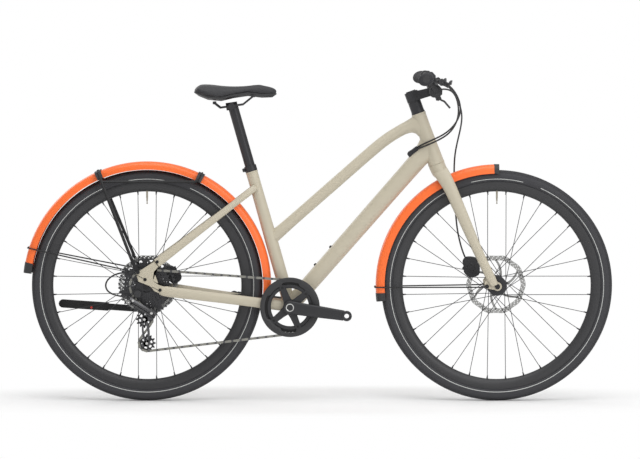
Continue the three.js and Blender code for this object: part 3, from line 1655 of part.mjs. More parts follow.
// Side rails with struts to the dropouts, and two straps over the mudguard.
function carrier() {
  const strapRadius = rearGuardRadius + carrierTube / 2 + gap;
  const strap = (bearing) => {
    const half = strapShares.map(([share, across]) => round(bearing, strapRadius * share, carrierHalf * across));
    const other = half.map((p) => at(p.x, -p.y, p.z)).reverse();
    return rod([...half, ...other], carrierTube / 2, 6);
  };
  const face = dropoutFace + gap;
  const sides = bothSides((side) => {
    const ends = strapAngles.map((bearing) => round(bearing, strapRadius * strapShares[0][0], side * carrierHalf));
    const rail = [
      ends[0].clone(),
      at(carrierRailX[0], side * carrierHalf, rearGuardRadius - carrierRailDrop),
      at(carrierRailX[1], side * carrierHalf, rearGuardRadius - carrierRailDrop),
      ends[1],
    ];
    const strut = [
      ends[0].clone(),
      at(carrierKnee[0], side * (face + carrierTube), carrierKnee[1]),
      at(stayEyeX, side * (face + stayEyeThickness / 2), stayEyeZ),
    ];
    const [y0, y1] = [side * face, side * (face + stayEyeThickness)].sort((a, b) => a - b);
    const eye = moved(drum(stayEyeRadius, y0, y1, 8), stayEyeX, 0, stayEyeZ);
    const knee = plate([
      [stayEyeX - stayEyeRadius, stayEyeZ],
      [stayEyeX + stayEyeRadius, stayEyeZ],
      [carrierKnee[0] + carrierTube, carrierKnee[1]],
      [carrierKnee[0] - carrierTube, carrierKnee[1]],
    ], y0, y1);
    return joined(rod(rail, carrierTube, 6), rod(strut.slice(0, 2), carrierTube, 6), eye, knee);
  });
  return moved(joined(sides, strapAngles.map(strap)), 0, 0, rearAxleHeight);
}

// The kickstand's block hangs under the left chainstay and holds the pivot pin.
function standBlock() {
  const outline = [
    [standPivotX - standPinRadius, standPivotZ - standPinRadius],
    [standPivotX + standBlockWidth, standPivotZ + standBlockHeight / 3],
    [standPivotX + standBlockWidth, standPivotZ + standBlockHeight],
    [standPivotX - standPinRadius, standPivotZ + standBlockHeight],
  ];
  const block = plate(outline, standBlockInner, standBlockOuter);
  const pin = moved(drum(standPinRadius, standBlockOuter - overrun, standOuter + gap * 2), standPivotX, 0, standPivotZ);
  const head = moved(drum(standPinRadius * 1.7, standOuter + gap, standOuter + overrun), standPivotX, 0, standPivotZ);
  const stay = moved(stayTube(chainstayStations(1, gap * 2)), 0, 0, -rearAxleHeight);
  const end = plate(dropoutShares.map(([x, z]) => [x * dropoutReach, z * dropoutReach - gap]), 0, standBlockOuter * 2);
  return moved(joined(cutBy(block, stay, end), pin, head), 0, 0, rearAxleHeight);
}
const standOuter = standBlockOuter + gap + standThickness;

// The folded leg reaches back from its pivot; its foot section is wider and has adjusting holes.
function standLeg() {
  const spots = [0, standFootShare - 0.01, standFootShare, 1].map((share) => {
    return at(-standReach * share, 0, standReach * Math.tan(rad(standRise)) * share);
  });
  const halves = [standDepth, standDepth, standFootDepth, standFootDepth].map((depth) => depth / 2);
  const upper = spots.map((spot, i) => [spot.x, spot.z + halves[i]]);
  const lower = spots.map((spot, i) => [spot.x, spot.z - halves[i]]).reverse();
  const tip = arc(spots[3].x, spots[3].z, standFootDepth / 2, 110, 250, 4);
  const outline = [...upper, ...tip, ...lower];
  const holes = standHoleShares.map((share) => {
    return arc(-standReach * share, standReach * Math.tan(rad(standRise)) * share, standHoleRadius, 0, 360, 6);
  });
  const y0 = standBlockOuter + gap;
  const leg = joined(plate(outline, y0, standOuter, holes), drum(standBossRadius, y0, standOuter));
  const bored = cutBy(leg, drum(standPinRadius + gap, y0 - overrun, standOuter + overrun));
  return moved(bored, standPivotX, 0, rearAxleHeight + standPivotZ);
}

// A brake caliper centred on the rotor's plane, slotted for the rotor.
function caliper(x, z, tilt, plane, rotorX, rotorZ) {
  const outline = caliperShares.map(([along, up]) => [caliperLength * along, caliperHeight * up]);
  const block = spun(plate(outline, plane - caliperHalf, plane + caliperHalf), yAxis, -tilt);
  const cylinder = drum(caliperHeight * 0.28, plane - caliperHalf * 1.15, plane + caliperHalf * caliperBossShare, 10);
  const slot = drum(rotorRadius + rotorWave + gap * 4, plane - caliperSlot, plane + caliperSlot, 24);
  return cutBy(moved(joined(block, cylinder), x, 0, z), moved(slot, rotorX, 0, rotorZ));
}

piece(bike, "rear_fender", rearGuard(), orangePlastic);
piece(bike, "rear_fender_stay", rearGuardStay(), blackAlloy);
piece(bike, "pannier_carrier", carrier(), blackAlloy);
piece(bike, "kickstand_mount", standBlock(), blackAlloy);
piece(bike, "kickstand_leg", standLeg(), blackAlloy);
const rearCaliper = caliper(rearCaliperX, rearCaliperZ, rearCaliperAngle, rearRotorPlane, 0, 0);
piece(bike, "rear_caliper", cutBy(moved(rearCaliper, 0, 0, rearAxleHeight), caliperRoom()), blackAlloy);

// The left stay and dropout with a little slack, kept clear by the caliper.
function caliperRoom() {
  const end = plate(axleTab(dropoutShares), dropoutInner - gap, dropoutFace);
  return joined(stayTube(chainstayStations(1, gap * 2)), end);
}

// The front mudguard hangs from the fork crown; its wire stay starts at both fork eyelets.
function frontGuard() {
  const band = guard(frontGuardRadius, frontGuardSkirt, frontGuardFromAngle, frontGuardToAngle);
  const under = at(forkEnd.x * crownShares[3][3], 0, -crownDrop - gap * 2);
  const inside = under.clone().sub(at(0, 0, crownTabLength));
  return joined(band, rod([inside, under].map(intoWheel), guardTabRadius, 8));
}
// A spot of the steering frame, seen from the front axle with X level.
function intoWheel(spot) {
  return spot.clone().sub(forkEnd).applyAxisAngle(yAxis, steering.rotation.y);
}

function frontGuardStay() {
  const eyelet = intoWheel(at(forkEnd.x - eyeletBehind, 0, forkEnd.z + eyeletAbove));
  const level = -wireRadius * 2;
  const behind = -Math.sqrt((frontGuardRadius + wireRadius + gap) ** 2 - level ** 2);
  const half = guardWidth / 2 + wireRadius + gap;
  const face = frontHalf + forkEndThickness + gap;
  const middle = face + stayEyeThickness / 2;
  const one = (side) => [
    at(eyelet.x, side * middle, eyelet.z),
    at(eyelet.x - stayEyeRadius * 3, side * middle, eyelet.z - wireRadius),
    at(behind * 0.9, side * half, level),
    at(behind + wireRadius, side * half, level),
    at(behind, side * half * 0.85, level),
  ];
  const eyes = bothSides((side) => {
    const [y0, y1] = [side * face, side * (face + stayEyeThickness)].sort((a, b) => a - b);
    return moved(drum(stayEyeRadius, y0, y1, 8), eyelet.x, 0, eyelet.z);
  });
  return joined(rod([...one(1), ...one(-1).reverse()], wireRadius, 6), eyes);
}

// The frame of the front wheel inside the steering: at the axle, with X level.
const frontEnd = new THREE.Group();
frontEnd.position.copy(forkEnd);
frontEnd.rotation.y = -steering.rotation.y;
steering.add(frontEnd);
piece(frontEnd, "front_fender", frontGuard(), orangePlastic);
piece(frontEnd, "front_fender_stay", frontGuardStay(), blackAlloy);
const frontCaliper = caliper(frontCaliperX, frontCaliperZ, frontCaliperAngle, frontRotorPlane, forkEnd.x, forkEnd.z);
piece(steering, "front_caliper", cutBy(frontCaliper, forkLeg(1, gap * 2)), blackAlloy);

// Brakes and shifter on the handlebar.
const leverAxis = at(Math.cos(rad(leverAngle)), 0, Math.sin(rad(leverAngle)));
const leverSpot = (side) => barPoint(side, leverShare);
const leverPivot = (side) => {
  return leverSpot(side).setY(side * barHalf * masterToShare).add(at(leverPivotAhead, 0, -leverPivotDrop));
};
const barRoom = (side) => rod([barPoint(side, barShares[3][0]), barPoint(side, barShares[4][0]), barPoint(side, 1)],
  barRadius + gap, 10);

// A brake body: clamp, master cylinder ahead of the bar and the lug with the blade's pin.
function leverBody(side) {
  const spot = leverSpot(side);
  const ends = [-clampHalfShare, clampHalfShare].map((share) => barPoint(side, leverShare + share));
  const clamp = rod(ends, clampRingRadius, 8);
  const master = [barHalf * masterFromShare, barHalf * masterToShare].map((y) => {
    return at(spot.x + masterAhead, side * y, spot.z - masterDrop);
  });
  const neck = rod([spot, at(spot.x + masterAhead, spot.y, spot.z - masterDrop)], masterRadius * 0.7, 6);
  const pivot = leverPivot(side);
  const lug = column(pivot, leverAxis, [[0, -lugThickness], [lugRadius, -lugThickness], [lugRadius, 0], [0, 0]], 8);
  const pin = column(pivot, leverAxis, [
    [0, -lugThickness / 2],
    [leverPinRadius, -lugThickness / 2],
    [leverPinRadius, lugThickness + gap * 2],
    [leverPinRadius * 1.7, lugThickness + gap * 2],
    [leverPinRadius * 1.7, lugThickness * 1.4],
    [0, lugThickness * 1.4],
  ], 8);
  const foot = rod([master[1], pivot.clone().addScaledVector(leverAxis, -lugThickness / 2)], lugThickness / 2, 6);
  const bladeSide = column(pivot, leverAxis, [
    [0, 0],
    [lugRadius + gap * 4, 0],
    [lugRadius + gap * 4, lugThickness * 2],
    [0, lugThickness * 2],
  ], 8);
  const body = cutBy(joined(clamp, rod(master, masterRadius, 6), neck, lug, foot), barRoom(side), bladeSide);
  return joined(body, pin);
}

// The blade swings on its pin towards the grip.
function blade(side) {
  const pivot = leverPivot(side).addScaledVector(leverAxis, gap);
  const eye = column(pivot, leverAxis, [[0, 0], [lugRadius, 0], [lugRadius, lugThickness], [0, lugThickness]], 8);
  const middle = pivot.clone().addScaledVector(leverAxis, lugThickness / 2);
  const course = bladeShares.map(([across, ahead, down]) => {
    return middle.clone().add(at(bladeReach * ahead, side * bladeReach * across, -bladeReach * down));
  });
  const bore = column(pivot, leverAxis, [
    [0, -overrun],
    [leverPinRadius + gap, -overrun],
    [leverPinRadius + gap, lugThickness * 2],
    [0, lugThickness * 2],
  ], 8);
  const headRoom = column(pivot, leverAxis, [
    [0, lugThickness + gap],
    [leverPinRadius * 1.7 + gap, lugThickness + gap],
    [leverPinRadius * 1.7 + gap, lugThickness * 2],
    [0, lugThickness * 2],
  ], 8);
  const lugRoom = column(leverPivot(side), leverAxis, [
    [0, -lugThickness * 2],
    [lugRadius * 1.2, -lugThickness * 2],
    [lugRadius * 1.2, gap],
    [0, gap],
  ], 8);
  return cutBy(joined(eye, rod(course, bladeRadius, 8, 0.55)), bore, headRoom, lugRoom);
}

const shifterCentre = () => {
  const spot = leverSpot(-1);
  return at(spot.x + shifterAhead, -(barHalf * shifterFromShare + barHalf * shifterToShare) / 2, spot.z - shifterDrop);
};
const shiftPivot = () => shifterCentre().sub(at(0, 0, shifterRadius + gap));

// The shifter hangs from the right brake's clamp; its pin carries the thumb lever.
function shifterBody() {
  const centre = shifterCentre();
  const ends = [barHalf * shifterFromShare, barHalf * shifterToShare].map((y) => at(centre.x, -y, centre.z));
  const neck = rod([leverSpot(-1), at(centre.x, leverSpot(-1).y * 0.88, centre.z)], masterRadius * 0.8, 6);
  const down = at(0, 0, -1);
  const pin = column(shiftPivot(), down, [
    [0, -overrun],
    [shiftPinRadius, -overrun],
    [shiftPinRadius, lugThickness + gap * 2],
    [shiftPinRadius * 1.6, lugThickness + gap * 2],
    [shiftPinRadius * 1.6, lugThickness * 1.4],
    [0, lugThickness * 1.4],
  ], 8);
  const seat = column(shiftPivot(), down, [[0, -overrun], [lugRadius, -overrun], [lugRadius, 0], [0, 0]], 8);
  const core = cutBy(joined(rod(ends, shifterRadius, 8), neck), barRoom(-1));
  return joined(core, seat, pin);
}

function shiftLever() {
  const down = at(0, 0, -1);
  const pivot = shiftPivot().addScaledVector(down, gap);
  const eye = column(pivot, down, [[0, 0], [lugRadius, 0], [lugRadius, lugThickness], [0, lugThickness]], 8);
  const middle = pivot.clone().addScaledVector(down, lugThickness / 2);
  const [ahead, across, drop] = shiftArm;
  const arm = rod([
    middle,
    middle.clone().add(at(ahead * 0.6, -across * 0.5, -drop * 0.35)),
    middle.clone().add(at(ahead, -across, -drop)),
  ], shiftArmRadius, 8, 0.6);
  const bore = column(pivot, down, [
    [0, -overrun],
    [shiftPinRadius + gap, -overrun],
    [shiftPinRadius + gap, lugThickness * 2],
    [0, lugThickness * 2],
  ], 8);
  const headRoom = column(pivot, down, [
    [0, lugThickness + gap],
    [shiftPinRadius * 1.6 + gap * 3, lugThickness + gap],
    [shiftPinRadius * 1.6 + gap * 3, lugThickness * 2],
    [0, lugThickness * 2],
  ], 8);
  return cutBy(joined(eye, arm), bore, headRoom);
}

piece(steering, "brake_body_right", joined(leverBody(-1), shifterBody()), blackAlloy);
piece(steering, "brake_body_left", leverBody(1), blackAlloy);
piece(steering, "brake_blade_right", blade(-1), blackAlloy);
piece(steering, "brake_blade_left", blade(1), blackAlloy);
piece(steering, "shift_lever", shiftLever(), blackPlastic);

// Rear derailleur. Its four pivots are square to the links and to the way that the cage shifts:
// inwards and down along one slant.
const shiftWay = at(0, Math.SQRT1_2, -Math.SQRT1_2);
const [linkUpper, linkLower] = [upperPivot, lowerPivot].map(([x, y, z]) => at(x, y, rearAxleHeight + z));
const linkAxis = linkLower.clone().sub(linkUpper).cross(shiftWay).normalize();
const inward = (spot) => spot.clone().addScaledVector(shiftWay, linkOffset);
const onLink = (spot, level) => spot.clone().addScaledVector(linkAxis, level);
const linkAlong = linkLower.clone().sub(linkUpper).normalize();
const linkAcross = linkAlong.clone().cross(linkAxis);

// A flat plate square to the links' pivots, the tight skin of a disc on each spot, with round holes.
function linkPlate(spots, radius, low, high, bore = 0) {
  const flat = spots.map((spot) => {
    const reach = spot.clone().sub(linkUpper);
    return [reach.dot(linkAlong), reach.dot(linkAcross)];
  });
  const holes = bore ? flat.map(([x, z]) => arc(x, z, bore, 0, 360, 8)) : [];
  const body = plate(skinOf(flat, radius), low, high, holes);
  const geometry = skin(body);
  geometry.applyMatrix4(new THREE.Matrix4().makeBasis(linkAlong, linkAxis, linkAcross).setPosition(linkUpper));
  return solid(geometry);
}

const link = (from, to) => linkPlate([from, to], linkRadius, 0, linkThickness, linkPinRadius + gap * 2);

// Two pins with heads under the links, standing on a lug above them.
function linkPins(spots) {
  const low = linkThickness + gap;
  const pins = spots.map((spot) => {
    const profile = [
      [0, -gap - linkHeadRadius / 2],
      [linkHeadRadius, -gap - linkHeadRadius / 2],
      [linkHeadRadius, -gap],
      [linkPinRadius, -gap],
      [linkPinRadius, low + lugDepth / 2],
      [0, low + lugDepth / 2],
    ];
    return column(spot, linkAxis, profile, 8);
  });
  return joined(linkPlate(spots, linkRadius, low, low + lugDepth), pins);
}

// The knuckle bolted to the hanger.
function mountKnuckle() {
  const boss = moved(drum(knuckleRadius, -knuckleOuter, -knuckleInner), hangerBoltX, 0, rearAxleHeight + hangerBoltZ);
  const middle = at(hangerBoltX, -(knuckleInner + knuckleOuter) / 2, rearAxleHeight + hangerBoltZ);
  const level = linkThickness + gap + lugDepth / 2;
  const arm = rod([middle, onLink(linkUpper.clone().lerp(inward(linkUpper), 0.5), level)], lugDepth * 0.6, 6);
  const barrel = rod([barrelSpot(0), barrelSpot(barrelLength)], barrelRadius, 6);
  return joined(boss, arm, barrel, linkPins([linkUpper, inward(linkUpper)]));
}

// A spot along the mount's cable barrel, which looks back in line with the links.
function barrelSpot(reach) {
  const foot = onLink(inward(linkUpper), linkThickness + gap + lugDepth * 0.75);
  return foot.addScaledVector(linkAlong, -reach);
}

// The lower knuckle carries the cage's pivot.
function cageKnuckle() {
  const inner = -chainPlane + cagePlateGap + cagePlateThickness + gap * 2;
  const boss = moved(drum(cageBossRadius, -cageBossOuter, -inner), cagePivotX, 0, cagePivotZ);
  const bore = moved(drum(runningBore(cageStubRadius), -inner - cageStubLength - gap, 0), cagePivotX, 0, cagePivotZ);
  const middle = at(cagePivotX, -cageBossOuter + lugDepth / 2, cagePivotZ + cageBossRadius / 2);
  const level = linkThickness + gap + lugDepth / 2;
  const arm = rod([onLink(linkLower.clone().lerp(inward(linkLower), 0.5), level), middle], lugDepth * 0.5, 6);
  const swing = linkPlate([inward(linkLower)], linkSwing, -linkSwing, linkThickness + gap);
  return joined(cutBy(joined(boss, arm), bore, swing), linkPins([linkLower, inward(linkLower)]));
}

// Two cage plates joined by the pulleys' bolts, with the pivot's stub.
function pulleyCage() {
  const pivot = at(cagePivotX, 0, cagePivotZ);
  const flat = [guideCentre, tensionCentre, pivot].map((spot) => [spot.x, spot.z]);
  const outline = skinOf(flat, cageEndRadius);
  const innerOutline = skinOf(flat.slice(0, 2), cageEndRadius);
  const outer = chainPlane - cagePlateGap;
  const inner = chainPlane + cagePlateGap;
  const outerPlate = plate(outline, outer - cagePlateThickness, outer);
  const innerPlate = plate(innerOutline, inner, inner + cagePlateThickness);
  const bolts = [guideCentre, tensionCentre].map((spot) => {
    return moved(drum(pulleyBoltRadius, outer - cagePlateThickness / 2, inner + weld, 8), spot.x, 0, spot.z);
  });
  const stub = moved(drum(cageStubRadius, outer - cagePlateThickness - cageStubLength, outer), pivot.x, 0, pivot.z);
  return joined(outerPlate, innerPlate, bolts, stub);
}

// The tight skin round a disc on each of some flat spots.
function skinOf(spots, radius) {
  const rim = spots.flatMap(([x, z]) => arc(x, z, radius, 0, 360, 8));
  rim.sort(([ax, az], [bx, bz]) => ax - bx || az - bz);
  const turn = (o, a, b) => (a[0] - o[0]) * (b[1] - o[1]) - (a[1] - o[1]) * (b[0] - o[0]);
  const chainOf = (points) => points.reduce((hull, point) => {
    while (hull.length > 1 && turn(hull[hull.length - 2], hull[hull.length - 1], point) <= 0) hull.pop();
    hull.push(point);
    return hull;
  }, []);
  return [...chainOf(rim).slice(0, -1), ...chainOf([...rim].reverse()).slice(0, -1)];
}

function pulley(index) {
  const half = pulleyThickness / 2;
  const hubHalf = cagePlateGap - gap;
  const rim = plate(toothed(pulleyTeeth, gapBearing(index), pointedTooth), -half, half);
  const hubBody = drum(pulleyHubRadius, -hubHalf, hubHalf, 8);
  return cutBy(joined(rim, hubBody), drum(pulleyBore, -hubHalf * 2, hubHalf * 2, 8));
}

piece(bike, "derailleur_mount", mountKnuckle(), blackAlloy);
piece(bike, "derailleur_outer_link", link(linkUpper, linkLower), blackAlloy);
piece(bike, "derailleur_inner_link", link(inward(linkUpper), inward(linkLower)), blackAlloy);
piece(bike, "derailleur_knuckle", cageKnuckle(), blackAlloy);
piece(bike, "derailleur_cage", pulleyCage(), blackAlloy);
piece(bike, "guide_pulley", moved(pulley(3), guideCentre.x, chainPlane, guideCentre.z), blackPlastic);
piece(bike, "tension_pulley", moved(pulley(2), tensionCentre.x, chainPlane, tensionCentre.z), blackPlastic);

// Seatpost with the clamp for the saddle's rails.
const seatpostReach = seatTubeLength + gap + clampHeight + seatpostTop;
const onPost = (x, y, z) => onSeat(seatpostReach).add(at(x, y, z));

function seatpost() {
  const foot = seatTubeLength - seatpostInsert;
  const top = seatpostReach;
  const tube = column(bracket, seatDirection, [
    [0, foot],
    [seatpostRadius, foot],
    [seatpostRadius, top],
    [0, top],
  ]);
  const [a, b] = [1, 2].map((i) => onPost(railX[i], 0, railZ[i]));
  const middle = a.clone().lerp(b, 0.5);
  const cradle = rod([a.clone().lerp(b, 0.25), a.clone().lerp(b, 0.75)], seatpostHeadRadius, 6);
  const bar = moved(drum(seatpostHeadRadius * 0.8, -seatpostHeadWidth, seatpostHeadWidth, 8), middle.x, 0, middle.z);
  const rails = bothSides((side) => railRod(side, gap));
  const neck = rod([onSeat(top - seatpostRadius), middle], seatpostRadius * 0.9, 8);
  return cutBy(joined(tube, neck, cradle, bar), rails);
}
const railRod = (side, slack = 0) => rod(
  railX.map((x, i) => onPost(x, side * railHalf, railZ[i])),
  railRadius + slack,
  6,
);
piece(bike, "seatpost", seatpost(), blackAlloy);

// Half a saddle's cross-section, mirrored; the cover lies over the shell between top and base.
function saddleRing([x, top, bottom, half], coverSide) {
  const base = bottom + Math.min(saddleShell, (top - bottom) * 0.4);
  const under = coverSide ? base + gap : bottom;
  const crown = saddleCrownShares.map(([across, rise]) => {
    const dip = coverSide && across < 0.5 ? saddleChannel * (1 - across * 2) : 0;
    return coverSide ? [half * across, under + (top - under) * rise - dip] : null;
  });
  const upper = coverSide ? crown : [[half * 0.93, base], [half * 0.5, base]];
  const lower = coverSide ? [[half * 0.94, under], [half * 0.4, under]] : [[half * 0.9, (under + base) / 2], [half * 0.5, under]];
  const right = [...lower.reverse(), ...upper];
  return [...right.map(([y, z]) => onPost(x, y, z)), ...right.map(([y, z]) => onPost(x, -y, z)).reverse()];
}
const saddleCover = () => loft(saddleStations.map((station) => saddleRing(station, true)));

// The base shell with the two rails, clamped on the seatpost.
function saddleBase() {
  const shell = loft(saddleStations.map((station) => saddleRing(station, false)));
  const rails = bothSides((side) => railRod(side));
  const mounts = bothSides((side) => [0, 3].map((end) => {
    const foot = onPost(railX[end], side * railHalf, railZ[end] - railRadius);
    return rod([foot, foot.clone().add(at(0, 0, saddleMountRise))], railRadius * 1.6, 6);
  })).flat();
  return joined(shell, mounts, rails);
}
piece(bike, "saddle_base", saddleBase(), blackPlastic);
piece(bike, "saddle_cover", saddleCover(), darkRubber);

// A boot on the down tube's upper side takes both control hoses from the right lever.
const downTubeWay = onHead(downTubeHeadReach).sub(bracket).normalize();
const downTubeUp = at(-downTubeWay.z, 0, downTubeWay.x);
function controlHoses() {
  const seat = bracket.clone().lerp(onHead(downTubeHeadReach), bootAlongShare);
  const foot = seat.addScaledVector(downTubeUp, downTubeDepth * 0.52);
  const lean = downTubeUp.clone().lerp(steerAhead, 0.5).normalize();
  const profile = bootShares.map(([along, wide]) => [bootRadius * wide, bootLength * along - overrun]);
  const boot = column(foot, lean, [[0, profile[0][1]], ...profile, [0, bootLength - overrun]], 8);
  const mouth = foot.clone().addScaledVector(lean, bootLength - overrun * 1.5);
  const shifterFront = shifterCentre().add(at(shifterRadius + gap, 0, 0));
  const starts = [masterEnd(-1), [shifterFront, shifterFront.clone().add(at(hoseLead, 0, 0))]];
  const strands = [brakeHoseShares, shiftHoseShares].map((shares, i) => {
    const aside = at(0, (i === 0 ? 1 : -1) * hoseRadius * 1.2, 0);
    return hose([...starts[i].map(outOfSteering), ...fromHead(shares), mouth.clone().add(aside)]);
  });
  return joined(cutBy(boot, downTubeBody(gap * 2)), strands);
}
// The end of a hose at a brake body, and a spot further along it.
const masterEnd = (side) => [gap, hoseLead].map((reach) => {
  return leverSpot(side).setY(side * (barHalf * masterFromShare - reach)).add(at(masterAhead, 0, -masterDrop));
});
const outOfSteering = (spot) => spot.clone().applyAxisAngle(yAxis, steering.rotation.y).add(headFoot);
const fromHead = (shares) => shares.map(([x, y, z]) => {
  return headFoot.clone().add(at(wheelbase * x, wheelbase * y, wheelbase * z));
});
const hose = (points) => rod(curved(points, hoseSteps), hoseRadius, hoseSides);

// The front hose runs down behind the left fork leg to the caliper's outer face.
function frontHose() {
  const face = frontRotorPlane + caliperHalf * caliperBossShare + gap;
  const end = at(frontCaliperX, face, frontCaliperZ);
  const lead = end.clone().add(at(0, hoseLead / 2, 0));
  const bend = end.clone().add(at(-hoseLead / 2, hoseLead, hoseLead));
  const start = masterEnd(1).map(outOfSteering);
  return hose([...start, ...fromHead(frontHoseShares), ...[bend, lead, end].map(outOfSteering)]);
}

// The loop of housing from the right dropout's rear corner to the derailleur.
function shiftHousing() {
  const loop = loopShares.map(([x, y, z]) => {
    return at(dropoutReach * x, dropoutReach * y, rearAxleHeight + dropoutReach * z);
  });
  return hose([...loop, barrelSpot(barrelLength * 1.7), barrelSpot(barrelLength + gap)]);
}
piece(bike, "front_brake_hose", frontHose(), blackPlastic);
piece(bike, "control_hoses", controlHoses(), blackPlastic);
piece(bike, "shift_housing_rear", shiftHousing(), blackPlastic);

// The origin lies on the ground under the middle of the bicycle's length.
const rearReach = rearGuardRadius * Math.cos(rad(180 - rearGuardToAngle));
bike.position.x = -(wheelbase + tyreRadius - rearReach) / 2;

export default bike;
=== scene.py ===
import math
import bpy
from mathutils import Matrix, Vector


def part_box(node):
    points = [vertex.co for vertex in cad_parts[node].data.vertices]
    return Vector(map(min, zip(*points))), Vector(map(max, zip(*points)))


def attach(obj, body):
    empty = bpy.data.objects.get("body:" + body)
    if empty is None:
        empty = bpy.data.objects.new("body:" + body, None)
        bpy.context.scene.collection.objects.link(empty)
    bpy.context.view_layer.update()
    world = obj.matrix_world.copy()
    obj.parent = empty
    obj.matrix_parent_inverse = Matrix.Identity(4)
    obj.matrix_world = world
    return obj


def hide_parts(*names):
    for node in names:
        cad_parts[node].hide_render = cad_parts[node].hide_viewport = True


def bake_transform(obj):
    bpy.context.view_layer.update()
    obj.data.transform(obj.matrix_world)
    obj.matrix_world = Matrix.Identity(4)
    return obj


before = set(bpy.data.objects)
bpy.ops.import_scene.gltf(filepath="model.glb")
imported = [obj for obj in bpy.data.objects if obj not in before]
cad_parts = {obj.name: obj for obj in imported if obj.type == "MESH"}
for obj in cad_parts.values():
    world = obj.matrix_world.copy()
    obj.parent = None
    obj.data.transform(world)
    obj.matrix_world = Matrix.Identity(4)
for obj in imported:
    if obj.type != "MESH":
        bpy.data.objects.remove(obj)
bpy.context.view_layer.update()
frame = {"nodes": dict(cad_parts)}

# Looks of a step-through bike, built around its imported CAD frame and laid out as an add-on.
# The frame is the CAD's: +X points forward, +Z up, +Y to the rider's left. Pieces are drawn in
# millimetres and make() turns them into metres. Camera, lamps and materials are in metres.

from types import SimpleNamespace

import bpy
import numpy as np

bl_info = {
    "name": "Step-through bike",
    "version": (1, 0, 0),
    "blender": (4, 5, 0),
    "location": "3D View > Sidebar > Bike",
    "description": "Dresses the CAD frame of a step-through bike with its surfaces and finishes",
    "category": "Add Mesh",
}

finishes = {}
MM = 1000  # millimetres in a metre

# Finishes that several pieces share.
PAINT, ORANGE = "sand_powder_coat", "orange_moulded_guard"
ALLOY, NYLON, STEEL = "black_anodised_aluminium", "black_moulded_nylon", "black_phosphated_steel"
BRIGHT, PLATE = "polished_steel", "brushed_dark_alloy"


def linear(hex_code):
    """An sRGB hex colour as linear RGBA: each channel through the sRGB decoding curve."""
    channels = [int(hex_code[i:i + 2], 16) / 255 for i in (1, 3, 5)]
    curve = [c / 12.92 if c <= 0.04045 else ((c + 0.055) / 1.055) ** 2.4 for c in channels]
    return (*curve, 1.0)


def box(node):
    """Both corners of a CAD node's box, in millimetres."""
    return np.array([list(corner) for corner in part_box(node)]) * MM


def middle(node):
    """The middle of a CAD node's box."""
    return box(node).mean(0)


# Places and sizes that the CAD gives.
rear_centre = middle("rear_rim") * [1, 0, 1]
front_centre = middle("front_rim") * [1, 0, 1]
WHEELS = (("rear", rear_centre, "rear_wheel"), ("front", front_centre, "front_wheel"))
rear_axle_x = rear_centre[0]
cad_tyre = box("rear_tyre")[1] - box("rear_tyre")[0]

# Layout that several pieces share.
BRACKET = np.array([-84.5271, 0, 286.5])  # middle of the bottom bracket
STEER_AHEAD = np.array([0.94147, 0, 0.33710])  # square to the steering axis
STEER_UP = np.array([-0.33710, 0, 0.94147])  # up the steering axis
ACROSS = np.array([0.0, 1.0, 0.0])
ROTOR_Y = {"front": 40, "rear": 51}
TYRE_ROUND = 20.5  # half height of the tyre's section
TYRE_POWER = 0.92  # squares the tyre's section a little
SPOKES = 32
GUARD_BOLTS = np.radians([40, 111, 220, 292.5])  # bearings of the chain guard's bolts


def length(name, description, size_mm):
    """A length property. Its default is given in millimetres, and Blender holds it in metres."""
    return bpy.props.FloatProperty(
        name=name, description=description, default=size_mm / MM, unit="LENGTH")


def colour(name, description, default):
    """A colour property, from an sRGB hex value."""
    return bpy.props.FloatVectorProperty(
        name=name, description=description, default=linear(default), size=4, min=0, max=1,
        subtype="COLOR")


class BikeSizes(bpy.types.PropertyGroup):
    """Sizes of the pieces that stand for CAD nodes."""
    tyre_radius: length("Tyre radius", "Outside radius of both tyres", cad_tyre[2] / 2)
    tyre_width: length("Tyre width", "Width of both tyres", cad_tyre[1])
    line_radius: length("Line radius", "Radius of the pale reflective line on the tyre", 322.2)
    rim_outer: length("Rim outer radius", "Radius of the rim's outer edge", 316.5)
    rim_inner: length("Rim inner radius", "Radius of the rim's inner crest", 284)
    rim_width: length("Rim width", "Width of the rim at its hooks", 25)
    guard_width: length("Mudguard width", "Width over both skirts", 54)
    guard_wall: length("Mudguard wall", "Thickness of the mudguards", 2.2)
    rear_guard_radius: length("Rear mudguard radius", "Crest radius about the rear axle", 375)
    front_guard_radius: length("Front mudguard radius", "Crest radius about the front axle", 366)
    hose_diameter: length("Hose diameter", "Diameter of the hoses and the housing", 5)
    bar_radius: length("Bar radius", "Radius of the handlebar", 15.9)
    chain_pitch: length("Chain pitch", "Distance between two pins of the chain", 12.7)


def panel_sizes(context):
    """The panel's sizes by name, in millimetres."""
    sizes = context.scene.bike_sizes
    names = BikeSizes.__annotations__
    return SimpleNamespace(**{name: getattr(sizes, name) * MM for name in names})


class BikeColours(bpy.types.PropertyGroup):
    """Colours of the finishes."""
    frame: colour("Frame", "Satin powder coat on the frame and fork", "#BEB6A2")
    guards: colour("Mudguards", "Moulded orange plastic", "#FC712E")
    alloy: colour("Black alloy", "Anodised aluminium", "#404042")
    plastic: colour("Black plastic", "Glass-filled nylon", "#303032")
    tyre: colour("Tyre", "Tyre rubber", "#3D3D40")
    grip: colour("Grip", "Rubber of the grips", "#333336")
    saddle: colour("Saddle", "Coated fabric of the saddle", "#2A2A2D")


# Geometry: every shell is a pair of vertices (n, 3) and faces (m, 4). A triangle repeats its last
# index.

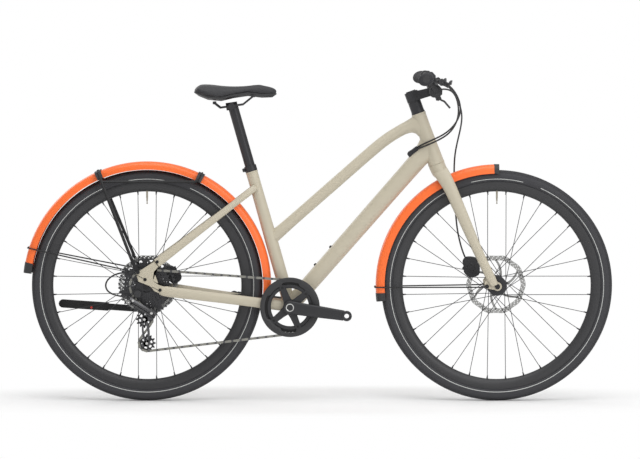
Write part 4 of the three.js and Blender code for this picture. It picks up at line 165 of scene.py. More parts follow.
def spline(points, steps):
    """Catmull-Rom: each span is a cubic blend of the four points around it, through every point."""
    points = np.asarray(points, float)
    ends = [2 * points[:1] - points[1:2], points, 2 * points[-1:] - points[-2:-1]]
    row = np.vstack(ends)[:, None]
    t = np.linspace(0, 1, steps, endpoint=False)[:, None]
    a, b, c, d = row[:-3], row[1:-2], row[2:-1], row[3:]
    cubic = (3 * b - a - 3 * c + d) * t ** 3
    curve = (2 * b + (c - a) * t + (2 * a - 5 * b + 4 * c - d) * t ** 2 + cubic) / 2
    return np.vstack([curve.reshape(-1, points.shape[1]), points[-1:]])


def unit(vectors):
    """Vectors over their own lengths."""
    vectors = np.asarray(vectors, float)
    return vectors / np.linalg.norm(vectors, axis=-1, keepdims=True)


def carried(path, side, lift, profile):
    """A profile carried along a path: point + side * a + lift * b, for each of its (a, b)."""
    side, lift = (np.broadcast_to(way, path.shape)[:, None] for way in (side, lift))
    return path[:, None] + side * profile[..., :1] + lift * profile[..., 1:]


def even(count):
    """Evenly spaced angles round a circle."""
    return np.arange(count) * 2 * np.pi / count


def ray(angle):
    """The unit circle's points at the angles: cosine and sine."""
    return np.stack([np.cos(angle), np.sin(angle)], -1)


def upright(flat, y=0.0):
    """Points (x, z) of an upright plane, at their place y across the bike."""
    flat = np.asarray(flat, float)
    return np.stack([flat[..., 0], np.broadcast_to(y, flat.shape[:-1]), flat[..., 1]], -1)


def square_to(along):
    """Directions in the XZ plane, a quarter turn up from the given ones."""
    return np.stack([-along[:, 2], np.zeros(len(along)), along[:, 0]], -1)


def quiet_frames(path):
    """Directions along, beside and above each point of a path, turning as little as they can."""
    along = unit(np.gradient(path, axis=0))
    beside = np.zeros_like(along)
    start = np.cross(along[0], [0.31, 0.17, 0.93])
    for i, direction in enumerate(along):
        start = start - direction * np.dot(start, direction)
        start = start / np.linalg.norm(start)
        beside[i] = start
    return beside, np.cross(along, beside)


def skin(rings, endless=False):
    """Faces between neighbouring rings (rows, columns, 3): endless, or with a pole at each end."""
    rows, columns = rings.shape[:2]
    index = np.arange(rows * columns).reshape(rows, columns)
    right = np.roll(index, -1, 1)
    vertices = rings.reshape(-1, 3)
    if endless:
        faces = np.stack([index, right, np.roll(right, -1, 0), np.roll(index, -1, 0)], -1)
        return outward(vertices, faces.reshape(-1, 4))
    faces = np.stack([index[:-1], right[:-1], right[1:], index[1:]], -1).reshape(-1, 4)
    first, last = len(vertices), len(vertices) + 1
    low = np.stack([np.full(columns, first), right[0], index[0], index[0]], -1)
    high = np.stack([np.full(columns, last), index[-1], right[-1], right[-1]], -1)
    vertices = np.vstack([vertices, rings[0].mean(0), rings[-1].mean(0)])
    return outward(vertices, np.vstack([faces, low, high]))


def outward(vertices, faces):
    """Faces turned round where the shell's signed volume is negative."""
    a, b, c, d = (vertices[faces[:, i]] for i in range(4))
    volume = np.sum(np.cross(a, b) * c) + np.sum(np.cross(a, c) * d)
    if volume < 0:
        faces = np.where(faces[:, 2:3] == faces[:, 3:4], faces[:, [1, 0, 2, 3]], faces[:, ::-1])
    return vertices, faces


def sheet_shell(outer, inner):
    """A wall between an outer and an inner grid (rows, columns, 3), closed along all four edges."""
    loop = np.concatenate([outer, inner[:, ::-1]], 1)
    rows, columns = loop.shape[:2]
    index = np.arange(rows * columns).reshape(rows, columns)
    right = np.roll(index, -1, 1)
    faces = [np.stack([index[:-1], right[:-1], right[1:], index[1:]], -1).reshape(-1, 4)]
    half = columns // 2
    for end in (0, -1):
        near, far = index[end, :half], index[end, half:][::-1]
        wall = np.stack([near[:-1], near[1:], far[1:], far[:-1]], -1)
        faces.append(wall if end else wall[:, ::-1])
    return outward(loop.reshape(-1, 3), np.vstack(faces))


def turned(foot, axis, profile, sides=40):
    """Each (radius, distance) of a profile: foot + axis * distance + radius * circle round it."""
    axis = unit(axis)
    profile = np.asarray(profile, float)
    beside = unit(np.cross(axis, [0.13, 0.07, 0.99] if abs(axis[2]) < 0.9 else [1, 0.1, 0]))
    around = ray(even(sides))
    ring = beside * around[:, :1] + np.cross(axis, beside) * around[:, 1:]
    return skin(np.asarray(foot, float) + axis * profile[:, None, 1:] + ring * profile[:, None, :1])


def tube(path, radius, sides):
    """A round tube along a path: each point plus a circle beside it."""
    return skin(carried(path, *quiet_frames(path), ray(even(sides)) * radius))


def oval_tube(stations, sides=36, steps=10, square=2.0, lift=None, share=0.5):
    """A tube through (point, depth, width): a superellipse upright across the tube.

    Its half width goes along Y and its half depth along lift, or along the direction across the
    path in the XZ plane. square is the superellipse's power, 2 for an ellipse and more for a
    boxier section, and share is 1 where the stations give halves.
    """
    rows = [[*point, depth * share, width * share] for point, depth, width in stations]
    rows = spline(rows, steps)
    path, depth, width = rows[:, :3], rows[:, 3:4], rows[:, 4:5]
    if lift is None:
        lift = square_to(unit(np.gradient(path, axis=0) * [1, 0, 1]))
    around = ray(even(sides))
    around = np.sign(around) * np.abs(around) ** (2 / square)
    profile = np.stack([around[:, 0] * width, around[:, 1] * depth], -1)
    return skin(carried(path, ACROSS, lift, profile))


def prism(outline, y0, y1, chamfer=0.6):
    """A plate in the XZ plane: the outline at both faces, drawn in by a chamfer at each."""
    outline = np.asarray(outline, float)
    tangent = unit(np.roll(outline, -1, 0) - np.roll(outline, 1, 0))
    normal = np.stack([tangent[:, 1], -tangent[:, 0]], -1)
    turn = np.sum(outline * np.roll(outline[:, ::-1] * [1, -1], -1, 0))
    inward = normal * (-1 if turn > 0 else 1)
    levels = (y0, chamfer), (y0 + chamfer, 0), (y1 - chamfer, 0), (y1, chamfer)
    return skin(np.array([upright(outline + inward * inset, y) for y, inset in levels]))


def strip(path, width, y0, y1, chamfer=0.8):
    """A flat bar in the XZ plane: its path carries an eight-sided section of the given width."""
    path = upright(path, (y0 + y1) / 2)
    a = (y1 - y0) / 2
    b = np.broadcast_to(np.asarray(width, float), len(path))[:, None] / 2
    cut = np.full_like(b, chamfer)
    corners = [(a, b - cut), (a - cut, b), (cut - a, b), (-a, b - cut),
               (-a, cut - b), (cut - a, -b), (a - cut, -b), (a, cut - b)]
    profile = np.stack([np.concatenate([u + 0 * b, v + 0 * b], 1) for u, v in corners], 1)
    return skin(carried(path, ACROSS, square_to(unit(np.gradient(path, axis=0))), profile))


def arc_points(centre, section, angle):
    """Points at centre + radius * (cos, 0, sin) + y, for each angle and each (radius, y)."""
    section = np.asarray(section, float)
    points = centre + upright(ray(angle))[:, None] * section[None, :, :1]
    points[..., 1] += section[:, 1]
    return points


def arc_rings(centre, section, start, end, count):
    """The section at bearings from start to end, in degrees: 0 is forward and 90 is up."""
    return arc_points(centre, section, np.radians(np.linspace(start, end, count)))


def hoop(centre, section, count):
    """A ring round an axle: a closed (radius, y) section set at every bearing."""
    return skin(arc_points(centre, section, even(count)), endless=True)


def pierced(centre, y0, y1, radius, mask):
    """A flat ring in the XZ plane cut out by a mask: cells of radius by bearing between y0 and y1.

    radius holds every row's radius at every bearing; a wall stands wherever a kept cell has no
    kept neighbour.
    """
    rows, columns = mask.shape
    out = upright(ray(even(columns)))
    flat = (centre + radius[..., None] * out).reshape(-1, 3)
    count = len(flat)
    vertices = np.vstack([flat, flat])
    vertices[:count, 1], vertices[count:, 1] = y0, y1
    near = np.arange(count).reshape(rows + 1, columns)
    after = np.roll(near, -1, 1)
    corner = [near[:-1], after[:-1], after[1:], near[1:]]
    far = np.stack(corner, -1)[mask] + count
    faces = [far, (far - count)[:, ::-1]]
    closed = np.pad(mask, ((1, 1), (0, 0)))
    beside = [closed[:-2], np.roll(mask, -1, 1), closed[2:], np.roll(mask, 1, 1)]
    for i in range(4):
        edge = mask & ~beside[i]
        p, q = corner[i][edge], corner[(i + 1) % 4][edge]
        faces.append(np.stack([q + count, p + count, p, q], -1))
    used, faces = np.unique(np.vstack(faces), return_inverse=True)
    return outward(vertices[used], faces.reshape(-1, 4))


def mirrored(shell):
    """A shell on the other side of the bike: Y negated and its faces turned back outwards."""
    vertices, faces = shell
    return outward(vertices * [1, -1, 1], faces)


def make(name, shells, look, body, replaces=(), crease=40, uv=None, period=None):
    """One mesh object from shells, smooth but for edges sharper than the crease angle."""
    vertices, faces, start = [], [], 0
    for points, quads in shells:
        vertices.append(points)
        faces.append(quads + start)
        start += len(points)
    quads = np.vstack(faces)
    polygons = [face[:3] if face[2] == face[3] else face for face in quads.tolist()]
    mesh = bpy.data.meshes.new(name)
    mesh.from_pydata((np.vstack(vertices) / MM).tolist(), [], polygons)
    mesh.polygons.foreach_set("use_smooth", np.ones(len(polygons), bool))
    mesh.set_sharp_from_angle(angle=math.radians(crease))
    if uv is not None:
        corners = np.zeros(len(mesh.loops), np.int32)
        mesh.loops.foreach_get("vertex_index", corners)
        spread = np.asarray(uv, float)[corners].reshape(-1, 4, 2) / MM
        behind = spread[..., 0].max(1, keepdims=True) - spread[..., 0] > period / MM / 2
        spread[..., 0] += period / MM * behind
        layer = mesh.uv_layers.new(name="surface")
        layer.uv.foreach_set("vector", spread.astype(np.float32).ravel())
    mesh.materials.append(finishes[look])
    mesh.update()
    piece = bpy.data.objects.new(name, mesh)
    bpy.context.scene.collection.objects.link(piece)
    if body:
        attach(piece, body)
    if replaces:
        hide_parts(*replaces)
    return piece


# Materials: each starts from the real material and how its surface was made.

def add(tree, kind, links=(), **settings):
    """One node with its settings; links gives its inputs sockets to join or values to hold."""
    node = tree.nodes.new(kind)
    for name, value in settings.items():
        setattr(node, name, value)
    for socket, value in dict(links).items():
        if isinstance(value, bpy.types.NodeSocket):
            tree.links.new(value, node.inputs[socket])
        else:
            node.inputs[socket].default_value = value
    return node


def finish(name, sockets=()):
    """A material with one Principled surface, and the finish that the operators look up by name."""
    material = bpy.data.materials.new(name)
    material.use_nodes = True
    tree = material.node_tree
    tree.nodes.clear()
    surface = add(tree, "ShaderNodeBsdfPrincipled", sockets)
    add(tree, "ShaderNodeOutputMaterial", {"Surface": surface.outputs["BSDF"]})
    finishes[name] = material
    return tree, surface


def shade(base, factor):
    """A colour with its light scaled by a factor."""
    return (*[min(1, c * factor) for c in base[:3]], 1)


def grain(tree, surface, base, size_mm, spread, rough, bump_mm=0, detail=3):
    """Noise of a real size in object space: shades the colour, the roughness and the height."""
    place = add(tree, "ShaderNodeTexCoord").outputs["Object"]
    noise = add(tree, "ShaderNodeTexNoise", {
        "Vector": place, "Scale": MM / size_mm, "Detail": detail, "Roughness": 0.55})
    level = noise.outputs["Fac"]
    tint = add(tree, "ShaderNodeMix", {"Factor": level, 6: shade(base, 1 - spread),
                                       7: shade(base, 1 + spread)}, data_type="RGBA").outputs[2]
    gloss = add(tree, "ShaderNodeMapRange", {
        "Value": level, "From Min": 0.3, "From Max": 0.7, "To Min": rough[0], "To Max": rough[1]})
    tree.links.new(tint, surface.inputs["Base Color"])
    tree.links.new(gloss.outputs[0], surface.inputs["Roughness"])
    if bump_mm:
        bump = add(tree, "ShaderNodeBump", {"Height": level, "Distance": bump_mm / MM})
        tree.links.new(bump.outputs[0], surface.inputs["Normal"])
    return place, tint


def make_finishes(colours):
    """All the finishes: name, sockets, colour, grain in mm, spread, roughness and bump in mm."""
    metal = {"Metallic": 1.0}
    for name, sockets, *look in (
            # Satin powder coat on aluminium tube: an even sand colour with a soft wide highlight
            # and a faint orange peel about 1.5 mm across.
            (PAINT, {"Coat Weight": 0.12, "Coat Roughness": 0.35},
             colours.frame, 1.5, 0.002, (0.42, 0.45), 0.0003),
            # Injection-moulded orange polypropylene: saturated, semi-gloss, with faint flow marks
            # 60 mm long and a moulded skin that scatters the highlight.
            (ORANGE, {"Coat Weight": 0.08, "Coat Roughness": 0.25},
             colours.guards, 60, 0.03, (0.34, 0.42), 0.02, 2),
            # Black anodised aluminium, bead-blasted: dark metal whose 0.8 mm grit breaks the sheen.
            (ALLOY, {"Metallic": 0.75}, colours.alloy, 0.8, 0.10, (0.40, 0.52), 0.004),
            # Black anodised rim, turned and brushed round: satin with broad soft reflections.
            ("black_satin_rim", {"Metallic": 0.35, "Coat Weight": 0.1, "Coat Roughness": 0.4},
             shade(colours.alloy, 0.8), 2.5, 0.06, (0.42, 0.50), 0.004),
            # Glass-filled nylon, spark-eroded mould: dull black with a fine grain of 0.9 mm.
            (NYLON, {}, colours.plastic, 0.9, 0.12, (0.50, 0.62), 0.03),
            # Retroreflective tape vulcanised on the sidewall: pale grey glass beads 1 mm apart.
            ("reflective_tape", {}, linear("#C9CBC8"), 1.0, 0.08, (0.35, 0.45), 0.01),
            # Thermoplastic rubber of the grips: dull dark grey with a dotted skin of 1.6 mm.
            ("grip_rubber", {"Specular IOR Level": 0.3},
             colours.grip, 1.6, 0.10, (0.66, 0.78), 0.12),
            # Extruded black polymer jacket of hoses: smooth, slightly glossy, with drawn streaks.
            ("hose_jacket", {"Coat Weight": 0.1, "Coat Roughness": 0.3},
             linear("#222224"), 4, 0.10, (0.36, 0.46), 0.01),
            # Stainless steel rotor, ground flat: bright metal with grinding marks 0.7 mm apart.
            ("ground_stainless_steel", metal, linear("#A9A9A7"), 0.7, 0.08, (0.28, 0.40), 0.004),
            # Nickel-plated hardened steel of the sprockets, stamped: greyer, oil-dulled patches.
            ("nickel_plated_sprockets", {"Metallic": 0.9},
             linear("#4C4C4E"), 6, 0.16, (0.34, 0.48), 0.01),
            # Chain steel with an oil film: olive grey metal, patchy from oil and dust.
            ("oiled_chain_steel", {"Metallic": 0.85},
             linear("#94938C"), 5, 0.2, (0.34, 0.50), 0.01),
            # Black phosphated steel of bolts, axles and stays: matt charcoal metal.
            (STEEL, {"Metallic": 0.5}, linear("#2A2A2B"), 1.0, 0.12, (0.45, 0.58), 0.006),
            # Drawn stainless spokes with a black coat: thin, dark and slightly shiny.
            ("black_drawn_spokes", {"Metallic": 0.6}, linear("#303032"), 3, 0.10, (0.34, 0.44)),
            # Polished stainless steel of caps and bolts: bright, with turning marks 0.5 mm apart.
            (BRIGHT, metal, linear("#D4D4D2"), 0.5, 0.05, (0.18, 0.28), 0.002),
            # Moulded red acetal of the kickstand's button: small, saturated and semi-gloss.
            ("red_moulded_button", {}, linear("#C8352B"), 0.8, 0.05, (0.34, 0.44), 0.01),
            # Brushed dark grey alloy of the derailleur's plates: satin, its grit catches the light.
            (PLATE, {"Metallic": 0.85}, linear("#5E5E60"), 1.2, 0.12, (0.30, 0.42), 0.004),
            # Turned brass of the valve, nickel flashed: pale metal with lathe rings.
            ("turned_brass", metal, linear("#A9A294"), 0.8, 0.10, (0.25, 0.36), 0.004)):
        grain(*finish(name, sockets), *look)

    # Tyre rubber, moulded and dusty: charcoal with mould grain of 3 mm. The tread's slanted
    # grooves are 6 mm apart round the tyre and read the tyre's own UV map in metres; their colour
    # is painted darker, at 0.55 of the rubber's, as painted shade in the recesses.
    tree, surface = finish("moulded_tyre_rubber", {"Specular IOR Level": 0.35})
    tint = grain(tree, surface, colours.tyre, 3.0, 0.07, (0.68, 0.80))[1]
    course = add(tree, "ShaderNodeUVMap", uv_map="surface").outputs[0]
    course = add(tree, "ShaderNodeSeparateXYZ", {"Vector": course}).outputs
    slant = add(tree, "ShaderNodeMath", {0: course["Y"]}, operation="ABSOLUTE").outputs[0]
    around = add(tree, "ShaderNodeMath", {0: slant, 1: course["X"]}, operation="ADD")
    turns = add(tree, "ShaderNodeMath", {0: around.outputs[0], 1: 2 * math.pi / 0.006},
                operation="MULTIPLY")
    wave = add(tree, "ShaderNodeMath", {0: turns.outputs[0]}, operation="SINE")
    cut, crown = (add(tree, "ShaderNodeMapRange", {
        "Value": value, "From Min": low, "From Max": high, "To Min": 1.0, "To Max": 0.0}).outputs[0]
        for value, low, high in ((wave.outputs[0], 0.35, 0.75), (slant, 0.019, 0.022)))
    tread = add(tree, "ShaderNodeMath", {0: cut, 1: crown}, operation="MULTIPLY")
    groove = add(tree, "ShaderNodeMath", {0: crown, 1: tread.outputs[0]},
                 operation="SUBTRACT").outputs[0]
    # painted shade: inside the grooves the colour drops to 0.55 of the rubber's, standing in for
    # the shade of the recesses
    dark = add(tree, "ShaderNodeMix", {"Factor": groove, 6: tint, 7: shade(colours.tyre, 0.55)},
               data_type="RGBA").outputs[2]
    tree.links.new(dark, surface.inputs["Base Color"])
    bump = add(tree, "ShaderNodeBump", {"Height": groove, "Distance": 1.2 / MM}, invert=True)
    tree.links.new(bump.outputs[0], surface.inputs["Normal"])

    # Polyurethane-coated fabric over foam: leather-like grain of 1.8 mm with a soft low sheen.
    tree, surface = finish("saddle_cover_fabric", {
        "Specular IOR Level": 0.4, "Sheen Weight": 0.12, "Sheen Roughness": 0.5})
    place = grain(tree, surface, colours.saddle, 5, 0.08, (0.48, 0.60))[0]
    cells = add(tree, "ShaderNodeTexVoronoi", {"Vector": place, "Scale": MM / 1.8})
    bump = add(tree, "ShaderNodeBump", {
        "Height": cells.outputs["Distance"], "Distance": 0.25 / MM, "Strength": 0.8})
    tree.links.new(bump.outputs[0], surface.inputs["Normal"])


class BikeOperator(bpy.types.Operator):
    """Base of the operators: each of them can be undone."""
    bl_options = {"REGISTER", "UNDO"}


class BIKE_OT_camera(BikeOperator):
    """A long lens at the photograph's angle: beside the chain side, a little above the saddle."""
    bl_idname = "bike.camera"
    bl_label = "Camera"

    def execute(self, context):
        lens = bpy.data.cameras.new("camera")
        lens.sensor_width = 36
        lens.lens = 201.4
        lens.clip_end = 200
        eye, aim_height = (0.006, -10.8, 1.11), 0.518
        camera = bpy.data.objects.new("camera", lens)
        context.scene.collection.objects.link(camera)
        camera.location = eye
        pitch = math.atan2(eye[2] - aim_height, -eye[1])
        camera.rotation_euler = (math.pi / 2 - pitch, 0, 0)
        context.scene.camera = camera
        return {"FINISHED"}


class BIKE_OT_stage(BikeOperator):
    """A plain pale floor, soft lamps on both sides and an even pale world."""
    bl_idname = "bike.stage"
    bl_label = "Stage"

    def execute(self, context):
        context.scene.view_settings.view_transform = "Standard"
        self.world(context.scene)
        self.floor()
        for lamp in (("overhead_softbox", 122, 5.0, (0.4, -1.2, 4.6), (0, 0, 0.4)),
                     ("right_softbox", 73, 3.5, (2.8, -4.2, 2.6), (0.1, 0, 0.5)),
                     ("left_softbox", 60, 3.5, (-3.4, 3.6, 2.6), (0, 0, 0.5))):
            self.softbox(context.scene, *lamp)
        return {"FINISHED"}

    def world(self, scene):
        """White where the camera looks, and a weaker even light elsewhere."""
        scene.world = bpy.data.worlds.new("pale_studio")
        scene.world.use_nodes = True
        tree = scene.world.node_tree
        tree.nodes.clear()
        rays = add(tree, "ShaderNodeLightPath").outputs
        seen = add(tree, "ShaderNodeMath", {
            0: rays["Is Camera Ray"], 1: rays["Is Transmission Ray"]}, operation="MAXIMUM")
        ambient, white = (add(tree, "ShaderNodeBackground", {"Color": linear("#FFFFFF"),
                                                             "Strength": strength}).outputs[0]
                          for strength in (0.55, 1.0))
        both = add(tree, "ShaderNodeMixShader", {0: seen.outputs[0], 1: ambient, 2: white})
        add(tree, "ShaderNodeOutputWorld", {"Surface": both.outputs[0]})

    def floor(self):
        """Painted floor: matt off-white close to the bike, which keeps its shadow, and pure white
        further out, where only the camera, reflections and clear pieces see it."""
        tree, surface = finish("matt_white_floor", {"Roughness": 0.9})
        place = grain(tree, surface, linear("#F4F4F4"), 40, 0.004, (0.88, 0.92))[0]
        oval = add(tree, "ShaderNodeMapping", {"Vector": place, "Scale": (0.8, 2.4, 1)}).outputs[0]
        reach = add(tree, "ShaderNodeVectorMath", {0: oval}, operation="LENGTH").outputs["Value"]
        far = add(tree, "ShaderNodeMapRange", {"Value": reach, "From Min": 0.72, "From Max": 1.25},
                  interpolation_type="SMOOTHSTEP")
        rays = add(tree, "ShaderNodeLightPath").outputs
        seen = add(tree, "ShaderNodeMath", {0: rays["Is Camera Ray"], 1: rays["Is Glossy Ray"]},
                   operation="MAXIMUM")
        seen = add(tree, "ShaderNodeMath", {0: seen.outputs[0], 1: rays["Is Transmission Ray"]},
                   operation="MAXIMUM")
        amount = add(tree, "ShaderNodeMath", {0: far.outputs[0], 1: seen.outputs[0]},
                     operation="MULTIPLY")
        glow = add(tree, "ShaderNodeEmission", {"Color": linear("#FFFFFF"), "Strength": 1.0})
        both = add(tree, "ShaderNodeMixShader", {
            0: amount.outputs[0], 1: surface.outputs[0], 2: glow.outputs[0]})
        output = next(node for node in tree.nodes if node.type == "OUTPUT_MATERIAL")
        tree.links.new(both.outputs[0], output.inputs["Surface"])
        half = 60 * MM
        corners = np.array([[-half, -half, 0], [half, -half, 0], [half, half, 0], [-half, half, 0]])
        make("floor", [(corners, np.array([[0, 1, 2, 3]]))], "matt_white_floor", None)

    def softbox(self, scene, name, power, size, place, aim):
        """A round lamp at a place, turned towards its aim."""
        lamp = bpy.data.lights.new(name, "AREA")
        lamp.energy = power
        lamp.shape = "DISK"
        lamp.size = size
        light = bpy.data.objects.new(name, lamp)
        scene.collection.objects.link(light)
        light.location = place
        toward = np.subtract(aim, place)
        yaw = math.atan2(-toward[0], toward[1])
        tilt = math.atan2(math.hypot(toward[0], toward[1]), -toward[2])
        light.rotation_euler = (tilt, 0, yaw)


class BIKE_OT_finishes(BikeOperator):
    """Every finish, from the colours of the panel, and each CAD node that stays gets its own."""
    bl_idname = "bike.finishes"
    bl_label = "Finishes"

    def execute(self, context):
        make_finishes(context.scene.bike_colours)
        group = crisp_edges()
        for name, nodes in node_finishes.items():
            for node in nodes.split():
                piece = frame["nodes"][node]
                piece.data.materials.clear()
                piece.data.materials.append(finishes[name])
                piece.modifiers.new("weld", "WELD").merge_threshold = 0.00001
                piece.modifiers.new("crisp_edges", "NODES").node_group = group
        return {"FINISHED"}


# The CAD nodes of each finish, also those that a piece stands for.
node_finishes = {
    PAINT: "head_tube top_tube down_tube seat_tube chainstays seatstays fork",
    ORANGE: "rear_fender front_fender",
    ALLOY: """seat_clamp headset_lower headset_upper headset_spacers stem handlebar seatpost
        hanger_right front_hub rear_hub crank_right crank_left bottom_bracket front_caliper
        rear_caliper kickstand_mount""",
    PLATE: "derailleur_outer_link derailleur_inner_link",
    "black_satin_rim": "front_rim rear_rim",
    NYLON: """brake_body_right brake_body_left brake_blade_right brake_blade_left shift_lever
        chain_guard derailleur_mount derailleur_knuckle derailleur_cage guide_pulley
        tension_pulley saddle_base front_tyre rear_tyre""",
    "grip_rubber": "grip_right grip_left",
    STEEL: """rear_fender_stay front_fender_stay pannier_carrier rear_axle front_axle
        kickstand_leg chainring""",
    "hose_jacket": "control_hoses shift_housing_rear front_brake_hose",
    "ground_stainless_steel": "front_rotor rear_rotor",
    "saddle_cover_fabric": "saddle_cover",
    "oiled_chain_steel": "chain",
    "nickel_plated_sprockets": "cassette",
}


def crisp_edges():
    """A modifier group: smooth faces, with the edges over 38 degrees left sharp."""
    tree = bpy.data.node_groups.new("crisp_edges", "GeometryNodeTree")
    for way in ("INPUT", "OUTPUT"):
        tree.interface.new_socket("Geometry", in_out=way, socket_type="NodeSocketGeometry")
    source = add(tree, "NodeGroupInput").outputs[0]
    faces = add(tree, "GeometryNodeSetShadeSmooth", {"Geometry": source, "Shade Smooth": True},
                domain="FACE")
    angle = add(tree, "GeometryNodeInputMeshEdgeAngle").outputs["Unsigned Angle"]
    sharp = add(tree, "FunctionNodeCompare", {0: angle, 1: math.radians(38)},
                data_type="FLOAT", operation="GREATER_THAN")
    edges = add(tree, "GeometryNodeSetShadeSmooth", {
        "Geometry": faces.outputs[0], "Selection": sharp.outputs[0], "Shade Smooth": False},
        domain="EDGE")
    add(tree, "NodeGroupOutput", {0: edges.outputs[0]})
    return tree


def relaxed(route, step=12, rounds=4):
    """The route at even steps, with each inner point moved half way to its neighbours' middle."""
    path = spline(route, 12)
    reach = np.concatenate([[0], np.cumsum(np.linalg.norm(np.diff(path, axis=0), axis=1))])
    marks = np.linspace(0, reach[-1], int(reach[-1] / step) + 1)
    points = np.stack([np.interp(marks, reach, path[:, k]) for k in range(3)], -1)
    for _ in range(rounds):
        points[1:-1] += ((points[:-2] + points[2:]) / 2 - points[1:-1]) * 0.5
    return points


def hose(name, route, sizes, body, replaces):
    """A hose as a round tube along one smooth curve through its route."""
    path = spline(relaxed(route), 3)
    piece = make(name, [tube(path, sizes.hose_diameter / 2, 14)], "hose_jacket", body)
    if not body:
        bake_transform(piece)
    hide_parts(replaces)


# Routes of the hoses: the ends of the CAD's hoses, with wider bends at the levers between them.
REAR_BRAKE_ROUTE = [
    (366.8, -137.7, 964.8), (367.3, -127, 964.8), (372.5, -116.5, 964),
    (381.5, -108.5, 961.5), (393, -104, 954.5), (404, -102, 943),
    (415, -101, 926.5), (423.5, -98, 906), (427.5, -90, 885),
    (424.5, -76, 864), (413, -60, 840), (390, -46, 814.1),
    (359, -38, 796), (329, -30, 783), (301.5, -16, 769),
    (272.4, 3, 750.4)]
SHIFT_ROUTE = [
    (370.4, -133, 943.8), (380, -132.8, 946.6), (390.5, -131.5, 946.2),
    (400, -129, 941), (408, -125.5, 931), (414, -120.5, 916),
    (419, -113.5, 896), (420.5, -102, 874), (417.5, -86, 852),
    (408, -68, 829), (390, -54, 806), (359, -43.9, 788),
    (329, -35, 774), (301.5, -20, 763), (272.4, -3, 750.4)]
FRONT_BRAKE_ROUTE = [
    (366.8, 137.7, 964.8), (367.3, 127, 964.8), (372.5, 116.5, 964),
    (381.5, 108, 961), (393, 102, 953.5), (404.5, 97, 941),
    (417, 90, 922), (429, 79, 897), (437, 64, 866),
    (434, 52, 832), (423, 46, 785), (414.5, 49, 740),
    (413, 60, 681), (415.8, 68, 600), (422.5, 70, 520),
    (433, 73.5, 470), (444, 77.5, 435), (454, 76.5, 416),
    (461, 69, 406.2), (464.3, 54.1, 403.2)]
LOOP_ROUTE = [
    (-547.2, -75, 388), (-567.6, -75.6, 393.4), (-594, -78, 392.8),
    (-627, -81.6, 379), (-642, -84, 356.2), (-631.2, -81.6, 332.2),
    (-606, -75, 323.8), (-580, -71.7, 320), (-570.7, -70.8, 314.3)]


class BIKE_OT_hoses(BikeOperator):
    """Brake hoses, shift housing and the loop at the derailleur, each a stiff round tube."""
    bl_idname = "bike.hoses"
    bl_label = "Hoses"

    def execute(self, context):
        sizes = panel_sizes(context)
        hose("rear_brake_hose", REAR_BRAKE_ROUTE, sizes, None, "control_hoses")
        hose("shift_housing_front", SHIFT_ROUTE, sizes, None, "control_hoses")
        hose("front_brake_hose_jacket", FRONT_BRAKE_ROUTE, sizes, "steering", "front_brake_hose")
        hose("shift_housing_loop", LOOP_ROUTE, sizes, "frame", "shift_housing_rear")
        self.boot()
        return {"FINISHED"}

    def boot(self):
        """The ribbed boot on the down tube: a tapering profile turned about the hoses' way in."""
        along = np.linspace(0, 1, 61)
        ribs = 0.8 * np.sin(along * 2 * np.pi * 6) * (along > 0.25)
        profile = np.stack([10 - 3 * along + ribs, along * 36 - 4], -1)
        mouth, way_out = (279, -2, 744), (0.66, -0.36, 0.66)
        make("hose_boot", [turned(mouth, way_out, profile, 28)], "grip_rubber", "frame",
             ["control_hoses"], 60)


class BIKE_OT_frame_tubes(BikeOperator):
    """Frame tubes: superellipse sections along smooth paths, and turned head and seat tubes."""
    bl_idname = "bike.frame_tubes"
    bl_label = "Frame tubes"

    def execute(self, context):
        top = [((-142.06, 0, 488.47), 38.1, 32), ((-71.46, 0, 550.29), 34, 32),
               ((45, 0, 652.28), 34, 32), ((161.5, 0, 754.3), 34, 32),
               ((208.5, 0, 791.83), 34, 32), ((250.64, 0, 817.85), 34.5, 32),
               ((274, 0, 828.5), 39, 33), ((290, 0, 833), 53, 35),
               ((304, 0, 835), 78, 38), ((314, 0, 837), 92, 39)]
        make("top_tube_coat", [oval_tube(top)], PAINT, "frame", ["top_tube"])
        down = [((-84.53, 0, 286.5), 48.8, 46), ((42.34, 0, 431.45), 50.3, 46),
                ((158.63, 0, 564.32), 51.7, 46), ((274.93, 0, 697.19), 53, 46),
                ((313, 0, 740.7), 57, 44), ((338.37, 0, 769.66), 76, 41)]
        make("down_tube_coat", [oval_tube(down, square=2.15)], PAINT, "frame", ["down_tube"])
        self.bosses()
        lean = (-0.27396, 0, 0.96174)
        seat = spline([(19.25, 0), (19.25, 170), (18.7, 260), (18, 360), (18, 423.5)], 6)
        shell = [(0, -36.5), (20.5, -36.5), (22, -35), (22, 35), (20.5, 36.5),
                 (0, 36.5)]
        lip = [(18, 418.5), (18.8, 419.2), (18.8, 422.8), (17.5, 423.8)]
        make("seat_tube_coat", [turned(BRACKET, lean, seat), turned(BRACKET, ACROSS, shell, 56),
                                turned(BRACKET, lean, lip)], PAINT, "frame", ["seat_tube"])
        foot = (357.75, 0, 715.53)
        head = spline([(24.6, 0), (23.8, 30), (22.2, 80), (21.3, 122),
                       (21.2, 163)], 8)
        rings = [[(24.6, 0), (25.2, 0.8), (25.2, 6), (24.3, 7.5)],
                 [(21.2, 155.5), (21.9, 157), (21.9, 162.2), (21.2, 163)]]
        make("head_tube_coat", [turned(foot, STEER_UP, profile) for profile in (head, *rings)],
             PAINT, "frame", ["head_tube"])
        return {"FINISHED"}

    def bosses(self):
        """Two bottle bolts on the down tube: hexagon-socket heads turned on washers."""
        along = np.array([338.37, 0, 769.66]) - BRACKET
        up = unit(np.array([-along[2], 0, along[0]]))
        profile = [(5.2, 0), (5.2, 1.4), (4, 1.6), (3.8, 3.8), (3, 4.4), (1.4, 4.4), (1.2, 2.8)]
        shells = [turned(BRACKET + along * share + up * lift, up, profile, 20)
                  for share, lift in ((0.225, 24.5), (0.335, 25))]
        make("bottle_bolts", shells, STEEL, "frame", crease=35)


